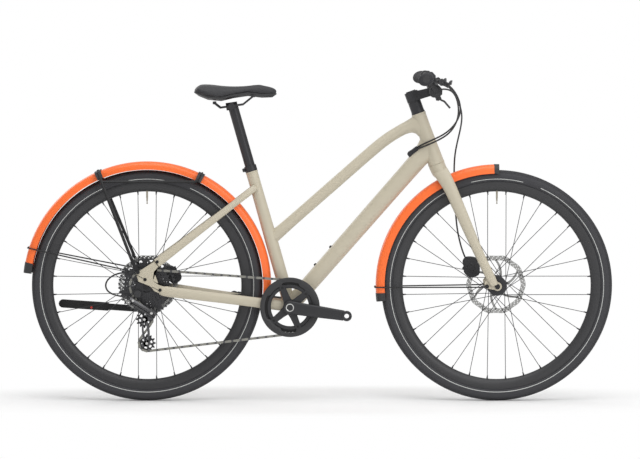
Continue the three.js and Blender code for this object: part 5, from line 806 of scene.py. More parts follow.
class BIKE_OT_stays(BikeOperator):
    """Chainstays and seatstays: ovals along smooth paths, mirrored, with dropout plates."""
    bl_idname = "bike.stays"
    bl_label = "Stays"

    def execute(self, context):
        chain = [((-476.03, 74.2, 338.5), 21.7, 11.7), ((-452.54, 73.46, 335.38), 31, 13),
                 ((-339, 57.88, 320.3), 30, 13), ((-233.3, 40.81, 306.26), 30, 13),
                 ((-147.17, 34.5, 294.82), 31, 13), ((-104.1, 32.65, 289.1), 31, 13)]
        stay = oval_tube(chain, 28)
        plate = [(24, 425.8), (-19.8, 397), (-30, 388), (-22.8, 365.2), (7.8, 353.2),
                 (16.2, 347.8), (24, 337), (40.8, 329.8), (60, 325), (60, 349), (37.2, 356.8),
                 (24, 395.2), (37.8, 410.2)]
        tab = [(-22.2, 367), (18, 367), (30, 343), (15, 335.8), (-7.8, 335.8), (-22.2, 343)]
        plate, tab = ([(rear_axle_x + x, z) for x, z in points] for points in (plate, tab))
        yoke = oval_tube([((-131.51, 0, 292.74), 24, 68.3), ((-100, 0, 288.6), 24, 68.3)], 28)
        plates = [prism(plate, -77.7, -71), prism(plate, 65, 77.7), prism(tab, 65, 77.7)]
        make("chainstays_coat", [stay, mirrored(stay), yoke, *plates], PAINT, "frame",
             ["chainstays"], 38)
        seat = [((-483.63, 74.2, 420.68), 27, 12), ((-380.48, 60.84, 499.5), 23.1, 12),
                ((-246.72, 37.1, 601.72), 20, 12), ((-216.99, 30.42, 624.44), 20, 12),
                ((-187.26, 20.03, 647.15), 20, 12)]
        stay = oval_tube(seat, 28)
        bridge = turned((-219.96, -30.4, 622.17), ACROSS, [(8, 0), (8, 60.8)], 24)
        make("seatstays_coat", [stay, mirrored(stay), bridge], PAINT, "frame", ["seatstays"])
        return {"FINISHED"}


class BIKE_OT_fork(BikeOperator):
    """Fork: crown and legs lofted from ovals across the steering axis, and dropout plates."""
    bl_idname = "bike.fork"
    bl_label = "Fork"

    def execute(self, context):
        crown = [((357.85, 0, 715.24), 24.6, 24.6), ((360.89, 0, 706.77), 24.6, 28.3),
                 ((367.7, 0, 692.01), 24.1, 38.1), ((372.7, 0, 682.32), 21.2, 41.8)]
        lean = upright(ray(0.46603))  # square to the legs
        leg = [((366.86, 30, 697.2), 46, 24), ((380.06, 40.8, 676.02), 44, 25.2),
               ((397.81, 46.8, 643.52), 39.2, 24), ((431.54, 51.6, 569.24), 34.4, 20.4),
               ((480.79, 56.4, 457.34), 28, 16.8), ((521.34, 58.8, 372.55), 26.4, 14.4),
               ((531.59, 58.8, 352.48), 20, 12)]
        leg = oval_tube(leg, lift=lean)
        centre = front_centre[[0, 2]]
        turn = np.array([STEER_AHEAD[[0, 2]], STEER_UP[[0, 2]]])
        ear, heel, shoulder = centre + np.array([(-30, 11), (-13, 39), (-32.8, 25)]) @ turn
        rake = 19.7  # degrees that the steering axis leans back
        rim = centre + 13 * ray(np.radians(np.linspace(-150, 60, 22) + rake))
        eyelet = ear + 7 * ray(np.radians(np.linspace(130, 270, 12) + rake))
        plate = prism(np.vstack([rim, heel, shoulder, eyelet]), -56, -50)
        make("fork_coat", [oval_tube(crown, lift=STEER_AHEAD, share=1), leg, mirrored(leg), plate,
                           mirrored(plate)], PAINT, "steering", ["fork"], 38)
        return {"FINISHED"}


class BIKE_OT_tyres(BikeOperator):
    """Tyres: a rounded section turned about each axle, with a pale reflective line on each side."""
    bl_idname = "bike.tyres"
    bl_label = "Tyres"

    def execute(self, context):
        """Section: radius = middle + a * cos(t) and y = b * sin(t), t within 125 degrees of out."""
        sizes = panel_sizes(context)
        half, middle_radius = sizes.tyre_width / 2, sizes.tyre_radius - TYRE_ROUND
        t = np.radians(np.linspace(-125, 125, 41))
        high = np.sign(np.cos(t)) * np.abs(np.cos(t)) ** TYRE_POWER
        section = np.stack([middle_radius + TYRE_ROUND * high, half * np.sin(t)], -1)
        section = np.vstack([section, [(312.5, 11.2), (310.5, 6), (310.5, -6), (312.5, -11.2)]])
        reach = np.cumsum(np.linalg.norm(np.diff(section, axis=0, prepend=section[:1]), axis=1))
        reach = reach - reach[20]
        angle = even(160)
        around = angle * sizes.tyre_radius
        uv = np.stack(np.meshgrid(around, reach, indexing="ij"), -1).reshape(-1, 2)
        for side, centre, body in WHEELS:
            make(side + "_tyre_casing", [hoop(centre, section, 160)], "moulded_tyre_rubber", body,
                 [side + "_tyre"], uv=uv, period=2 * np.pi * sizes.tyre_radius)
            self.line(side, centre, body, half, middle_radius, sizes.line_radius)
        return {"FINISHED"}

    def line(self, side, centre, body, half, middle_radius, line_radius):
        """Flat strips just proud of the sidewalls, left out where the real line has its pauses."""
        radii = line_radius + np.array([-1.1, -0.4, 0.4, 1.1])
        cosine = (np.abs(radii - middle_radius) / TYRE_ROUND) ** (1 / TYRE_POWER)
        across = half * np.sqrt(1 - cosine ** 2) + [-0.2, 0.5, 0.5, -0.2]
        outer = np.stack([radii, across], -1)
        shells = [sheet_shell(arc_rings(centre, outer * [1, way], start, end, 130),
                              arc_rings(centre, (outer - [0, 0.8]) * [1, way], start, end, 130))
                  for start, end in ((-246, 66), (76, 104)) for way in (1, -1)]
        make(side + "_tyre_line", shells, "reflective_tape", body)


class BIKE_OT_rims(BikeOperator):
    """Rims: a deep aerodynamic section turned about each axle, with spoke nipples and a valve."""
    bl_idname = "bike.rims"
    bl_label = "Rims"

    def execute(self, context):
        sizes = panel_sizes(context)
        half, outer, inner = sizes.rim_width / 2, sizes.rim_outer, sizes.rim_inner
        side = [(outer - 4, half - 3.5), (outer + 0.6, half - 2.2),
                (outer + 1, half - 0.6), (outer - 0.6, half + 0.1),
                (outer - 9, half), (outer - 16.5, half - 0.4),
                (outer - 24, half - 3), (inner + 3, half - 7.2),
                (inner + 0.6, half - 10)]
        section = [(outer - 4.5, 0)] + side + [(inner, 0)]
        section += [(r, -y) for r, y in side[::-1]]
        valve = [(4.2, 0), (4.2, 2.2), (3, 3), (3, 22), (2.5, 22.6), (2.5, 30), (1.5, 30.6),
                 (1.5, 36), (2.2, 36.5), (2.2, 39.5)]
        for side, centre, body in WHEELS:
            make(side + "_rim_wall", [hoop(centre, section, 192)], "black_satin_rim", body,
                 [side + "_rim"], 30)
            self.nipples(side, centre, body, inner)
            stem = turned(centre + [0, 0, inner + 2], (0, 0, -1), valve, 16)
            make(side + "_valve", [stem], "turned_brass", body)
        return {"FINISHED"}

    def nipples(self, side, centre, body, inner):
        """A small turned nipple at every spoke hole, along the radius there."""
        profile = [(2.4, 1), (2.4, -3.5), (1.8, -4), (1.8, -9)]
        radius, reach = np.array(profile)[:, None, :1], np.array(profile)[:, None, 1:]
        ring = ray(even(8))
        shells = []
        for index, angle in enumerate(even(SPOKES) + math.pi / SPOKES):
            out, along = upright(ray(angle)), upright(ray(angle + math.pi / 2))
            ringed = (along * ring[:, :1] + ACROSS * ring[:, 1:]) * radius
            offset = ACROSS * (2.2 if index % 2 else -2.2)
            shells.append(skin(centre + offset + out * (inner + reach) + ringed))
        make(side + "_spoke_nipples", shells, "black_drawn_spokes", body)


class BIKE_OT_mudguards(BikeOperator):
    """Mudguards: a thin arched section carried round each wheel, with black caps and a flap."""
    bl_idname = "bike.mudguards"
    bl_label = "Mudguards"

    def execute(self, context):
        sizes = panel_sizes(context)
        rear, front = sizes.rear_guard_radius, sizes.front_guard_radius
        for name, centre, radius, skirt, bearings, look, body, replaces, wider in (
                ("rear_mudguard_shell", rear_centre, rear, 24, (-8, 170.2), ORANGE, "frame",
                 ["rear_fender"], 0),
                ("rear_mudguard_flap", rear_centre, rear + 1.2, 26.2, (169.0, 174.0), NYLON,
                 "frame", (), 1.6),
                ("front_mudguard_shell", front_centre, front, 27, (89.6, 187.0), ORANGE,
                 "steering", ["front_fender"], 0),
                ("front_mudguard_tip", front_centre, front + 0.8, 27.8, (89.0, 91.4), NYLON,
                 "steering", (), 1.6),
                ("front_mudguard_end", front_centre, front + 0.8, 27.8, (183.6, 187.6), NYLON,
                 "steering", (), 1.6)):
            shell = self.guard(centre, radius, skirt, bearings, sizes.guard_width + wider,
                               sizes.guard_wall)
            make(name, [shell], look, body, replaces, 35)
        self.straps()
        return {"FINISHED"}

    def straps(self):
        """Two flat straps bent over the rear mudguard, which join the carrier's rails."""
        rise = [(352, 46), (369, 40), (376.5, 28), (378, 12)]
        outer = spline([(r, -y) for r, y in rise] + [(378, 0)] + rise[::-1], 5)
        inner = spline([(r - 1.6, -y * 0.96) for r, y in rise] + [(376.4, 0)]
                       + [(r - 1.6, y * 0.96) for r, y in rise[::-1]], 5)
        shells = [sheet_shell(arc_rings(rear_centre, outer, bearing - 1.5, bearing + 1.5, 6),
                              arc_rings(rear_centre, inner, bearing - 1.5, bearing + 1.5, 6))
                  for bearing in (63.9, 113.2)]
        make("carrier_straps", shells, NYLON, "frame", (), 35)

    def guard(self, centre, radius, skirt, bearings, width, wall):
        """Radius falls by skirt * drop at each share across; the wall is offset inwards."""
        shares = [(1, 1), (0.68, 0.965), (0.4, 0.90), (0.2, 0.75), (0.06, 0.48), (0, 0),
                  (0.06, -0.48), (0.2, -0.75), (0.4, -0.90), (0.68, -0.965), (1, -1)]
        section = spline(np.array(shares) * [-skirt, width / 2] + [radius, 0], 5)
        tangent = unit(np.gradient(section, axis=0))
        inner = section + np.stack([tangent[:, 1], -tangent[:, 0]], -1) * wall
        inner[:, 0] = np.maximum(inner[:, 0], radius - skirt)
        count = int(abs(bearings[1] - bearings[0]) * 1.1) + 6
        return sheet_shell(arc_rings(centre, section, *bearings, count),
                           arc_rings(centre, inner, *bearings, count))


class BIKE_OT_bar(BikeOperator):
    """Handlebar tube through its bends, and the two grips with their palm wings and fine ribs."""
    bl_idname = "bike.bar"
    bl_label = "Handlebar and grips"

    def execute(self, context):
        sizes = panel_sizes(context)
        half = [(350.64, 32, 937.1), (345.45, 70.4, 950.54), (336.67, 108.8, 971.86),
                (332.37, 144, 977.46), (324.95, 232, 977), (317.52, 319.5, 976.22)]
        right = [(x, -y, z) for x, y, z in half[::-1]]
        course = spline(right + [(350.64, 0, 937.1)] + half, 8)
        make("bar_tube", [tube(course, sizes.bar_radius * 0.995, 28)], ALLOY, "steering",
             ["handlebar"])
        stations = [((328.86, 185.6, 977.17), 19.0, 19.0), ((328.18, 193.66, 977.11), 19.0, 19.0),
                    ((327.72, 199.04, 977.07), 17, 17), ((325.6, 225, 976.6), 17.2, 17),
                    ((323.2, 252.8, 976.1), 18.0, 17.2), ((319.6, 274, 975.2), 20.2, 18.0),
                    ((316.8, 293.12, 974.5), 22.2, 18.6), ((315.6, 315, 974.2), 22.2, 18.4),
                    ((315.6, 320, 974.3), 20.8, 17.2), ((315.8, 322.69, 974.4), 17.5, 14.4)]
        rows = spline([[*point, wide, tall] for point, wide, tall in stations], 12)
        y = rows[:, 1:2]
        rib = 0.45 * np.sin(y * 2 * np.pi / 6) * ((y > 203) & (y < 300))
        profile = ray(even(32)) * np.stack([rows[:, 3:4] + rib, rows[:, 4:5] + rib], -1)
        grip = skin(carried(rows[:, :3], STEER_AHEAD, STEER_UP, profile))
        plug = [(0, 0), (11.5, 0), (11.5, 0.8), (10.4, 1.6), (0, 1.6)]
        plug = turned((317.2, 321.5, 975.2), ACROSS, plug, 32)
        for side, shell, cap in (("left", grip, plug), ("right", mirrored(grip), mirrored(plug))):
            make("grip_%s_rubber" % side, [shell], "grip_rubber", "steering", ["grip_" + side], 50)
            make("grip_%s_plug" % side, [cap], NYLON, "steering", (), 35)
        return {"FINISHED"}


class BIKE_OT_saddle(BikeOperator):
    """Saddle cover: a crowned pad lofted from nose to tail and swelled by a short cloth run."""
    bl_idname = "bike.saddle"
    bl_label = "Saddle"

    def execute(self, context):
        """Each station is a closed ring: a superellipse above the edge and a flat underside."""
        stations = [(133, 47.3, 39.8, 4.2), (128, 52.0, 38.6, 10), (119, 56.3, 37.8, 14.6),
                    (104, 60.6, 37.0, 18.6), (87, 63.0, 36.6, 21.6), (66, 61.8, 39.5, 24.8),
                    (46, 59.3, 41.6, 27.8), (25, 57.8, 39.0, 34.4), (4, 57.3, 35.6, 42.4),
                    (-15, 57.9, 31.6, 50.5), (-34, 59.3, 27.0, 58.0), (-55, 61.8, 28.2, 65.4),
                    (-74, 63.3, 30.8, 69.0), (-90, 63.2, 36.4, 69.4), (-101, 61.6, 41.8, 66.8),
                    (-110, 57.0, 44.0, 59.0), (-115.5, 49.8, 44.4, 47)]
        post = [-257.03, 891.7, 891.7, 0]  # the seatpost's place and the rails' height
        rows = spline(np.array(stations) + post, 5)
        t = np.linspace(0, np.pi, 27)
        across = np.cos(t)
        across = np.sign(across) * np.abs(across) ** 0.8
        rise = np.sin(t) ** 0.62
        x, top, base, half = (rows[:, i:i + 1] for i in range(4))
        back = np.clip((rows[0, 0] - 15 - x) / 50, 0, 1)
        channel = 2.6 * np.exp(-(across / 0.16) ** 2) * back
        crown = base + (top - base) * rise - channel
        high = np.stack(np.broadcast_arrays(x, half * across, crown), -1)
        low = np.stack(np.broadcast_arrays(x, half * np.linspace(-0.94, 0.94, 9), base), -1)
        rings = np.concatenate([high, low], 1)
        cover = make("saddle_cover_pad", [skin(rings)], "saddle_cover_fabric", None, (), 70)
        swell(cover, 0.0015)
        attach(cover, "seatpost")
        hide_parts("saddle_cover")
        return {"FINISHED"}


def swell(piece, cap):
    """A cloth run of 20 frames with inner pressure and no gravity, no point moved past the cap."""
    scene = bpy.context.scene
    view = bpy.context.view_layer
    view.objects.active = piece
    remesh = piece.modifiers.new("remesh", "REMESH")
    remesh.mode = "VOXEL"
    remesh.voxel_size = 0.004  # metres
    apply(piece, "remesh")
    start = positions(piece.data)
    cloth = piece.modifiers.new("cloth", "CLOTH")
    cloth.settings.use_pressure = True
    cloth.settings.uniform_pressure_force = 4
    cloth.settings.effector_weights.gravity = 0
    for number in range(1, 21):
        scene.frame_set(number)
    apply(piece, "cloth")
    end = positions(piece.data)
    move = end - start
    size = np.linalg.norm(move, axis=1, keepdims=True)
    end = start + move * np.minimum(1, cap / np.maximum(size, 1e-9))
    piece.data.vertices.foreach_set("co", end.astype(np.float32).ravel())
    piece.data.polygons.foreach_set("use_smooth", np.ones(len(piece.data.polygons), bool))
    piece.data.update()
    scene.frame_set(1)
    smooth = piece.modifiers.new("round", "SUBSURF")
    smooth.levels = smooth.render_levels = 1


def apply(piece, modifier):
    """Applies one modifier of a piece."""
    with bpy.context.temp_override(object=piece, active_object=piece, selected_objects=[piece]):
        bpy.ops.object.modifier_apply(modifier=modifier)


def positions(mesh):
    """A mesh's points as an array (n, 3)."""
    flat = np.zeros(len(mesh.vertices) * 3, np.float32)
    mesh.vertices.foreach_get("co", flat)
    return flat.reshape(-1, 3).astype(float)


class BIKE_OT_chain(BikeOperator):
    """Chain: plates, rollers and pins set at every pitch of the belt round its four sprockets."""
    bl_idname = "bike.chain"
    bl_label = "Chain"

    def execute(self, context):
        """The belt is four arcs and the four common tangents between them, measured by length."""
        pitch = panel_sizes(context).chain_pitch
        cog_y = -37.96
        # Each wheel's middle behind or ahead of the rear axle and its height, its teeth, the way
        # the chain turns on it, and its plane.
        wheels = [((0, 349), 25, -1, cog_y), ((431.5, 286.5), 40, -1, -46),
                  ((0.1706, 177.241), 12, -1, cog_y), ((-6.7991, 249.405), 12, 1, cog_y)]
        centres, teeth, turn, planes = (np.array(column, float) for column in zip(*wheels))
        centres = centres + [rear_axle_x, 0]
        radii = pitch / (2 * np.sin(math.pi / teeth))
        legs = []
        for i in range(4):
            k = (i + 1) % 4
            gap = centres[k] - centres[i]
            offset = turn[k] * radii[k] - turn[i] * radii[i]
            bearing = math.atan2(gap[1], gap[0]) - math.asin(offset / math.hypot(*gap))
            across = np.array([-math.sin(bearing), math.cos(bearing)])
            legs.append([centres[j] - turn[j] * radii[j] * across for j in (i, k)])
        share = np.linspace(0, 1, 40, endpoint=False)
        ease = share * share * (3 - 2 * share)
        points = []
        for i in range(4):
            k = (i + 1) % 4
            flat = legs[i][0] + (legs[i][1] - legs[i][0]) * share[:, None]
            points.append(upright(flat, planes[i] + (planes[k] - planes[i]) * ease))
            begin, end = (math.atan2(*(spot - centres[k])[::-1])
                          for spot in (legs[i][1], legs[k][0]))
            sweep = (end - begin) * turn[k] % (2 * math.pi)
            arc = centres[k] + radii[k] * ray(begin + turn[k] * sweep * share)
            points.append(upright(arc, planes[k]))
        belt = np.vstack(points + [points[0][:1]])
        reach = np.cumsum(np.linalg.norm(np.diff(belt, axis=0, prepend=belt[:1]), axis=1))
        count = 2 * round(reach[-1] / pitch / 2)
        marks = np.linspace(0, reach[-1], count + 1)
        pins = np.stack([np.interp(marks, reach, belt[:, axis]) for axis in range(3)], -1)
        # A plate's outline: 8.2 mm tall round each pin, with a waist of 6.2 mm between them.
        cosine, sine = ray(even(12)).T
        outline = np.stack([cosine * 3.6 + np.sign(cosine + 1e-9) * pitch / 2,
                            sine * np.where(np.abs(cosine) < 0.3, 3.1, 4.1)], -1)
        for name, near, far, odd, steel in (
                ("chain_outer_plates", 2.05, 2.75, 0, "oiled_chain_steel"),
                ("chain_inner_plates", 1.20, 1.90, 1, PLATE)):
            plates = [prism(outline, way * near, way * far, 0.2) for way in (1, -1)]
            self.copies(name, plates, pins[odd:-1:2], pins[odd + 1::2], steel)
        roller = turned((0, -1.2, 0), ACROSS, [(3.85, 0), (3.85, 2.4)], 10)
        pin = turned((0, -3, 0), ACROSS, [(1.8, 0), (1.8, 6)], 8)
        ahead = np.array([0.1, 0, 0])
        self.copies("chain_rollers", [roller, pin], pins[:-1] - ahead, pins[:-1] + ahead,
                    "oiled_chain_steel")
        return {"FINISHED"}

    def copies(self, name, shells, begin, end, steel):
        """Shells carried to the middle of every span, with their X along the span."""
        along = unit(end - begin)
        side = np.broadcast_to(ACROSS, along.shape)
        turn = np.stack([along, side, unit(np.cross(along, side))], 1)
        out = []
        for vertices, faces in shells:
            points = (begin + end)[:, None] / 2 + vertices @ turn
            shift = np.arange(len(begin))[:, None, None] * len(vertices)
            out.append(outward(points.reshape(-1, 3), (faces[None] + shift).reshape(-1, 4)))
        make(name, out, steel, "frame", ["chain"], 35)


class BIKE_OT_cassette(BikeOperator):
    """Cassette: eleven toothed sprockets with openings, one mask of cells each, and a lock ring."""
    bl_idname = "bike.cassette"
    bl_label = "Cassette"

    def execute(self, context):
        """Tooth edge: root + height * the clipped cosine of the tooth count times the bearing."""
        pitch = panel_sizes(context).chain_pitch
        inner, thick, spacing, largest_y = 17.8, 1.6, 3.74, -23
        shells = []
        for i, teeth in enumerate((42, 36, 32, 28, 25, 22, 19, 17, 15, 13, 11)):
            reach = pitch / (2 * math.sin(math.pi / teeth))
            root, tip = reach - 4.1, reach + (1 if i == 1 else 2.4)
            angle = even(teeth * 12)
            phase = math.radians(92.0) if i == 4 else 0.0  # meets the chain's rollers
            wave = -np.cos((angle - phase) * teeth)
            edge = root + (tip - root) * np.clip((wave + 0.55) / 1.35, 0, 1)
            marks = np.linspace(inner, root - 1, 9 if teeth > 15 else 2)
            radius = np.vstack([np.repeat(marks[:, None], len(angle), 1), edge[None]])
            mask = np.ones((len(radius) - 1, len(angle)), bool)
            if teeth > 21:  # openings between leaning arms
                arms = 7 if teeth > 30 else 6
                row = np.arange(len(mask))[:, None]
                lean = (angle[None] * arms / (2 * np.pi) + row * 0.045 + i * 0.13) % 1
                mask &= ~((lean > 0.26) & (row > 1) & (row < (8 if i == 0 else 7)))
            y = largest_y - spacing * i
            shells.append(pierced(rear_centre, y - thick / 2, y + thick / 2, radius, mask))
        make("cassette_sprockets", shells, "nickel_plated_sprockets", "cassette", ["cassette"], 35)
        sleeve = [(17.2, -22.2), (19.6, -22.2), (19.6, -60), (17.2, -60)]
        lock = [(11.2, -62.8), (11.2, -64), (13, -64.4), (15.8, -64.4),
                (17, -63.6), (17.2, -61), (15, -60.4)]
        make("cassette_sleeve", [hoop(rear_centre, sleeve, 48), hoop(rear_centre, lock, 48)],
             STEEL, "cassette", ["cassette"], 35)
        return {"FINISHED"}


class BIKE_OT_rotors(BikeOperator):
    """Brake rotors: a wavy slotted band as one mask of cells, six leaning arms and a carrier."""
    bl_idname = "bike.rotors"
    bl_label = "Brake rotors"

    def execute(self, context):
        """Edges: 88.4 mm + 1.6 * cos(10 t) outside and 74 mm + 1.2 * cos(10 t) inside."""
        angle = even(720)
        wave = np.cos(10 * angle)[None]
        low, high = 74 + 1.2 * wave, 88.4 + 1.6 * wave
        radius = low + (high - low) * np.linspace(0, 1, 15)[:, None]
        row = np.arange(14)[:, None]
        place = (angle[None] * 40 / (2 * np.pi) + (row // 4) * 0.33) % 1
        mask = ~((place < 0.30) & (row % 4 > 1) & (row < 13) & (row > 0))
        reach = np.linspace(25.5, 75.8, 12)
        swirl = (reach - reach[0]) * 0.011  # radians that an arm leans, growing along its reach
        for side, centre, body in reversed(WHEELS):
            y = ROTOR_Y[side]
            y0, y1 = y - 0.9, y + 0.9
            shells = [pierced(centre, y0, y1, radius, mask)]
            for start in even(6):
                path = centre[[0, 2]] + reach[:, None] * ray(start + swirl)
                shells.append(strip(path, np.linspace(7.8, 6, 12), y0, y1, 0.2))
            make(side + "_rotor_disc", shells, "ground_stainless_steel", body,
                 [side + "_rotor"], 35)
            carrier = [(18.3, y - 1.3), (18.3, y + 1.3), (20, y + 1.9),
                       (26, y + 1.4), (28.8, y + 0.8), (28.8, y - 0.8),
                       (26, y - 1.3)]
            make(side + "_rotor_carrier", [hoop(centre, carrier, 60)], ALLOY, body,
                 [side + "_rotor"], 35)
        return {"FINISHED"}


class BIKE_OT_crankset(BikeOperator):
    """Crank arms, spider, spindle with its bright cap, chain guard and the guard's bolts."""
    bl_idname = "bike.crankset"
    bl_label = "Crankset"

    def execute(self, context):
        lean = math.radians(8.3)
        face, crank = 55, 172.5  # the arms' inner faces, and their length between the axles
        for side, way, turn in (("right", -1, -lean), ("left", 1, math.pi - lean)):
            along = upright(ray(turn))
            stations = [(0, 40, 14.0), (30, 38.5, 14.6), (60, 37, 14.8), (100, 35.2, 14.2),
                        (140, 32.4, 13.4), (164, 31, 12.8)]
            rows = [(BRACKET + along * reach + ACROSS * way * (face + 7.5 + 0.06 * reach),
                     deep, thick) for reach, deep, thick in stations]
            middle_y = way * (face + 7.5 + 0.06 * crank)
            eye = [(7.1, -6.6), (7.1, 6.6), (8.2, 7.2), (14, 7),
                   (15.5, 5.6), (15.5, -5.6), (14, -7), (8.2, -7.2)]
            eye = [(r, y + middle_y) for r, y in eye]
            boss = [(18.5, 0), (20, 1.5), (20, 13), (18.5, 14.8),
                    (13.6, 15.6), (13.2, 14), (0, 14)]
            shells = [oval_tube(rows, 32, 8, 3.4), hoop(BRACKET + along * crank, eye, 40),
                      turned(BRACKET + [0, way * face, 0], (0, way, 0), [(0, 0)] + boss, 48)]
            if side == "right":
                shells += self.spider()
                shaft = [(0, 0), (11.9, 0), (11.9, 106), (0, 106)]
                shells.append(turned(BRACKET - [0, 53, 0], ACROSS, shaft, 32))
            make("crank_%s_arm" % side, shells, ALLOY, "crankset", ["crank_" + side], 35)
            cap = [(9.2, 13.8), (9.5, 15.6), (10.8, 16.2), (12.2, 16),
                   (12.9, 15), (12.6, 13.8)]
            cap = [(r, way * (face + y)) for r, y in cap]
            make("crank_%s_cap" % side, [hoop(BRACKET, cap, 48)], BRIGHT, "crankset",
                 ["crank_" + side], 35)
        self.guard()
        return {"FINISHED"}

    def spider(self):
        """Four arms that narrow towards the ring they hold, and that ring."""
        ring = [(57.2, -49.4), (57.2, -51.2), (58.6, -52.6), (66.8, -53),
                (68, -52), (68, -49.4)]
        shells = [hoop(BRACKET, ring, 96)]
        reach = np.linspace(10, 70, 12)
        width = np.interp(reach, [10, 30, 55, 64, 70], [30, 22.5, 19, 20, 15])
        for bearing in GUARD_BOLTS:
            path = BRACKET[[0, 2]] + reach[:, None] * ray(bearing)
            shells.append(strip(path, width, -55.2, -49, 1.2))
        return shells

    def guard(self):
        """The guard's section: its inner edge steps back 7 mm at three recesses round the ring."""
        section = [(69, -53.6), (69, -55), (72.5, -55.2), (74, -56),
                   (76.5, -56.4), (87, -56.4), (89.2, -55.6), (90, -54.4),
                   (89.6, -53.4), (76, -53.4)]
        angle = even(180)
        bearing = np.degrees(angle)
        step = sum(np.clip((bearing - begin) / 6, 0, 1) * np.clip((end - bearing) / 6, 0, 1)
                   for begin, end in ((64, 112), (148, 212), (246, 288)))
        inward = np.array([1, 1, 1, 1, 0.9, 0, 0, 0, 0, 0.6])
        rings = arc_points(BRACKET, section, angle)
        rings += upright(ray(angle))[:, None] * (7.2 * step[:, None] * inward)[..., None]
        make("chain_guard_ring", [skin(rings, endless=True)], NYLON, "crankset",
             ["chain_guard"], 30)
        head = [(0, 0), (4, 0), (4, 1), (3.4, 1.4), (2, 1.4), (1.7, 0.6), (0, 0.6)]
        spots = BRACKET + 62.8 * upright(ray(GUARD_BOLTS)) - [0, 54.8, 0]
        shells = [turned(spot, (0, -1, 0), head, 20) for spot in spots]
        make("chain_guard_bolts", shells, STEEL, "crankset", (), 35)


class BIKE_OT_calipers(BikeOperator):
    """Calipers: two rounded halves beside the rotor, a bridge over its edge and piston caps."""
    bl_idname = "bike.calipers"
    bl_label = "Calipers"

    def execute(self, context):
        shares = np.array([(-0.5, 0.1), (-0.42, 0.34), (-0.2, 0.5), (0.06, 0.44), (0.3, 0.42),
                           (0.46, 0.26), (0.5, 0.02), (0.38, -0.4), (0.12, -0.46), (-0.1, -0.5),
                           (-0.42, -0.35), (-0.49, -0.12)])
        cap = [(0, 0), (11.8, 0), (11.8, 1), (10.8, 1.8), (6, 1.8), (5.6, 1), (0, 1)]
        for side, body, tilt, hub in (("front", "steering", 104, front_centre),
                                      ("rear", "frame", -38, rear_centre)):
            y = ROTOR_Y[side]
            cosine, sine = ray(math.radians(tilt))
            flat = shares * [66, 46] @ np.array([[cosine, sine], [-sine, cosine]])
            low, high = box(side + "_caliper")[:, [0, 2]]
            flat = (flat - flat.min(0)) / (flat.max(0) - flat.min(0)) * (high - low) + low
            loop = np.vstack([flat[-1:], flat, flat[:2]])
            outline = spline(loop, 6)[6:6 * len(flat) + 6]
            centre = (low + high) / 2
            out = unit(centre - hub[[0, 2]])
            across = np.array([-out[1], out[0]])
            bridge = centre + out * 12 + across * np.linspace(-20, 20, 5)[:, None]
            shells = [prism(outline, y - 13.5, y - 2, 2.4), prism(outline, y + 2, y + 13.5, 2.4),
                      strip(bridge, 16, y - 6, y + 6, 1)]
            shells += [turned(upright(centre, y + way * 13), (0, way, 0), cap, 32)
                       for way in (-1, 1)]
            make(side + "_caliper_body", shells, ALLOY, body, [side + "_caliper"], 35)
        return {"FINISHED"}


